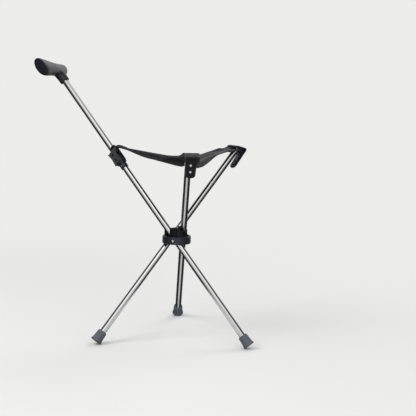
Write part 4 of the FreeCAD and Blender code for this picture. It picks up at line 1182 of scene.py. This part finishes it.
class OBJECT_OT_stick_seat_studio(bpy.types.Operator):
    """Set the floor, the lights and the camera"""
    bl_idname = "object.stick_seat_studio"
    bl_label = "Studio"

    def execute(self, context):
        scene = context.scene
        backdrop = scene.stick_seat_studio.backdrop
        self.floor(backdrop)
        self.world(backdrop)
        for name, (place, size, power) in LAMPS.items():
            self.lamp(name, Vector(place), size, power)
        self.board_materials()
        self.boards()
        self.camera()
        scene.view_settings.view_transform = "Standard"
        return {"FINISHED"}

    def floor(self, backdrop):
        """A round floor that glows like the background far from the seat, and throws little light up."""
        shape = bmesh.new()
        bmesh.ops.create_circle(shape, cap_ends=True, segments=96, radius=14)
        tree, shader = new_material("studio floor", Base_Color=(0.89, 0.89, 0.885), Roughness=0.9,
                                    Specular_IOR_Level=0.1)
        floor = new_piece("studio_floor", shape, "studio floor")
        reach = add_node(tree, "ShaderNodeVectorMath", {"operation": "LENGTH"}, _0=object_place(tree))
        far = ranged(tree, reach.outputs["Value"], (0.5, 1.7), rise="SMOOTHSTEP")
        glow = add_node(tree, "ShaderNodeEmission", Color=backdrop, Strength=1.0)
        dim = add_node(tree, "ShaderNodeBsdfDiffuse", Color=(0.4, 0.4, 0.4))
        rays = add_node(tree, "ShaderNodeLightPath").outputs
        thrown = layered(tree, rays["Is Diffuse Ray"], layered(tree, far, shader, glow), dim)
        join(tree, tree.nodes["Material Output"], Surface=thrown.outputs[0])

    def world(self, backdrop):
        """Soft white light on the seat; the camera and polished metal see the backdrop's colour."""
        world = bpy.data.worlds.new("studio")
        bpy.context.scene.world = world
        world.use_nodes = True
        tree = world.node_tree
        tree.nodes.clear()
        rays = add_node(tree, "ShaderNodeLightPath").outputs
        seen = maths(tree, "MAXIMUM", rays["Is Camera Ray"], rays["Is Glossy Ray"])
        soft = add_node(tree, "ShaderNodeBackground", Color=(1, 1, 1), Strength=0.55)
        shown = add_node(tree, "ShaderNodeBackground", Color=backdrop, Strength=1.0)
        add_node(tree, "ShaderNodeOutputWorld", {"is_active_output": True},
                 Surface=layered(tree, seen, soft, shown).outputs[0])

    def board_materials(self):
        """Plain glowing boards; the dark one lets the rest of the room through where it fades."""
        tree = new_material("dark board")[0]
        shade = add_node(tree, "ShaderNodeAttribute", {"attribute_name": "shade"}).outputs["Fac"]
        clear = add_node(tree, "ShaderNodeBsdfTransparent")
        dark = add_node(tree, "ShaderNodeEmission", Color=(0.028, 0.028, 0.03))
        join(tree, tree.nodes["Material Output"], Surface=layered(tree, shade, clear, dark).outputs[0])
        tree = new_material("bright board")[0]
        glow = add_node(tree, "ShaderNodeEmission", Color=(1, 0.99, 0.97), Strength=1.7)
        join(tree, tree.nodes["Material Output"], Surface=glow.outputs[0])

    def boards(self):
        """Dark boards at both sides and on the floor, and a bright one above the camera."""
        for name, stops, low, high, centre in (
            ("walls", WALL_SHADE, (WALL_REACH, 0.0), (WALL_REACH, WALL_HEIGHT), HUB_AXIS),
            ("floor", FLOOR_SHADE, (FLOOR_START, FLOOR_HEIGHT), (WALL_REACH, FLOOR_HEIGHT),
             on_leg("front", 0, 0, TUBE_FOOT)),
        ):
            shape = bmesh.new()
            layer = shape.verts.layers.float.new("shade")
            for side in (-1, 1):
                rows = []
                for step in range(BOARD_STEPS + 1):
                    bearing = stops[0] + (stops[3] - stops[0]) * step / BOARD_STEPS
                    pair = [shape.verts.new(around(bearing * side, *end, centre)) for end in (low, high)]
                    for vert in pair:
                        vert[layer] = between(bearing, stops)
                    rows.append(pair)
                fill_rows(shape, rows)
            self.board("dark_" + name, shape, "dark board")
        shape = bmesh.new()
        corners = [around(-STRIP_HALF, *STRIP_LOW), around(STRIP_HALF, *STRIP_LOW),
                   around(STRIP_HALF, *STRIP_HIGH), around(-STRIP_HALF, *STRIP_HIGH)]
        shape.faces.new([shape.verts.new(corner) for corner in corners])
        self.board("bright_strip", shape, "bright board")

    def board(self, name, shape, material):
        """A board that only reflections show."""
        piece = new_piece(name, shape, material)
        for ray in ("camera", "diffuse", "shadow", "transmission"):
            setattr(piece, "visible_" + ray, False)

    def lamp(self, name, place, size, power):
        light = bpy.data.lights.new(name, "AREA")
        light.shape = "SQUARE"
        light.size = size
        light.energy = power
        lamp = bpy.data.objects.new(name, light)
        lamp.location = place
        lamp.visible_glossy = False
        lamp.rotation_euler = (LAMP_AIM - place).to_track_quat("-Z", "Y").to_euler()
        bpy.context.collection.objects.link(lamp)

    def camera(self):
        camera = bpy.data.objects.new("camera", bpy.data.cameras.new("camera"))
        bpy.context.collection.objects.link(camera)
        bpy.context.scene.camera = camera
        camera.data.sensor_width = FILM_WIDTH
        camera.data.lens = FILM_WIDTH * LENS_SHARE
        level = math.cos(CAMERA_PITCH)
        ahead = Vector((math.sin(CAMERA_YAW) * level, math.cos(CAMERA_YAW) * level, -math.sin(CAMERA_PITCH)))
        right = Vector((math.cos(CAMERA_YAW), -math.sin(CAMERA_YAW), 0))
        above = right.cross(ahead)
        sideways = right * math.cos(CAMERA_ROLL) + above * math.sin(CAMERA_ROLL)
        upright = above * math.cos(CAMERA_ROLL) - right * math.sin(CAMERA_ROLL)
        view = frame_matrix(sideways, upright, -ahead, CAMERA_PLACE)
        hub = Matrix.Translation((HUB_AXIS.x, HUB_AXIS.y, 0))
        camera.matrix_world = hub @ Matrix.Rotation(CAMERA_TURN, 4, "Z") @ view


class VIEW3D_PT_stick_seat(bpy.types.Panel):
    """Lists the seat's pieces"""
    bl_label = "Stick Seat"
    bl_space_type = "VIEW_3D"
    bl_region_type = "UI"
    bl_category = "Stick Seat"

    def draw(self, context):
        for step in STEPS:
            self.layout.operator(step.bl_idname)
        for name in context.scene.stick_seat_cloth.__annotations__:
            self.layout.prop(context.scene.stick_seat_cloth, name)
        self.layout.prop(context.scene.stick_seat_studio, "backdrop")


STEPS = (
    OBJECT_OT_stick_seat_finishes,
    OBJECT_OT_stick_seat_cloth,
    OBJECT_OT_stick_seat_tubes,
    OBJECT_OT_stick_seat_rivets,
    OBJECT_OT_stick_seat_straps,
    OBJECT_OT_stick_seat_hub,
    OBJECT_OT_stick_seat_corners,
    OBJECT_OT_stick_seat_feet,
    OBJECT_OT_stick_seat_grip,
    OBJECT_OT_stick_seat_studio,
)
SETTINGS = (StickSeatCloth, StickSeatStudio)


def register():
    for item in (*SETTINGS, *STEPS, VIEW3D_PT_stick_seat):
        bpy.utils.register_class(item)
    bpy.types.Scene.stick_seat_cloth = bpy.props.PointerProperty(type=StickSeatCloth)
    bpy.types.Scene.stick_seat_studio = bpy.props.PointerProperty(type=StickSeatStudio)


def unregister():
    del bpy.types.Scene.stick_seat_cloth
    del bpy.types.Scene.stick_seat_studio
    for item in reversed((*SETTINGS, *STEPS, VIEW3D_PT_stick_seat)):
        bpy.utils.unregister_class(item)


def main():
    register()
    for step in STEPS:
        group, name = step.bl_idname.split(".")
        getattr(getattr(bpy.ops, group), name)()


if __name__ == "__main__":
    main()
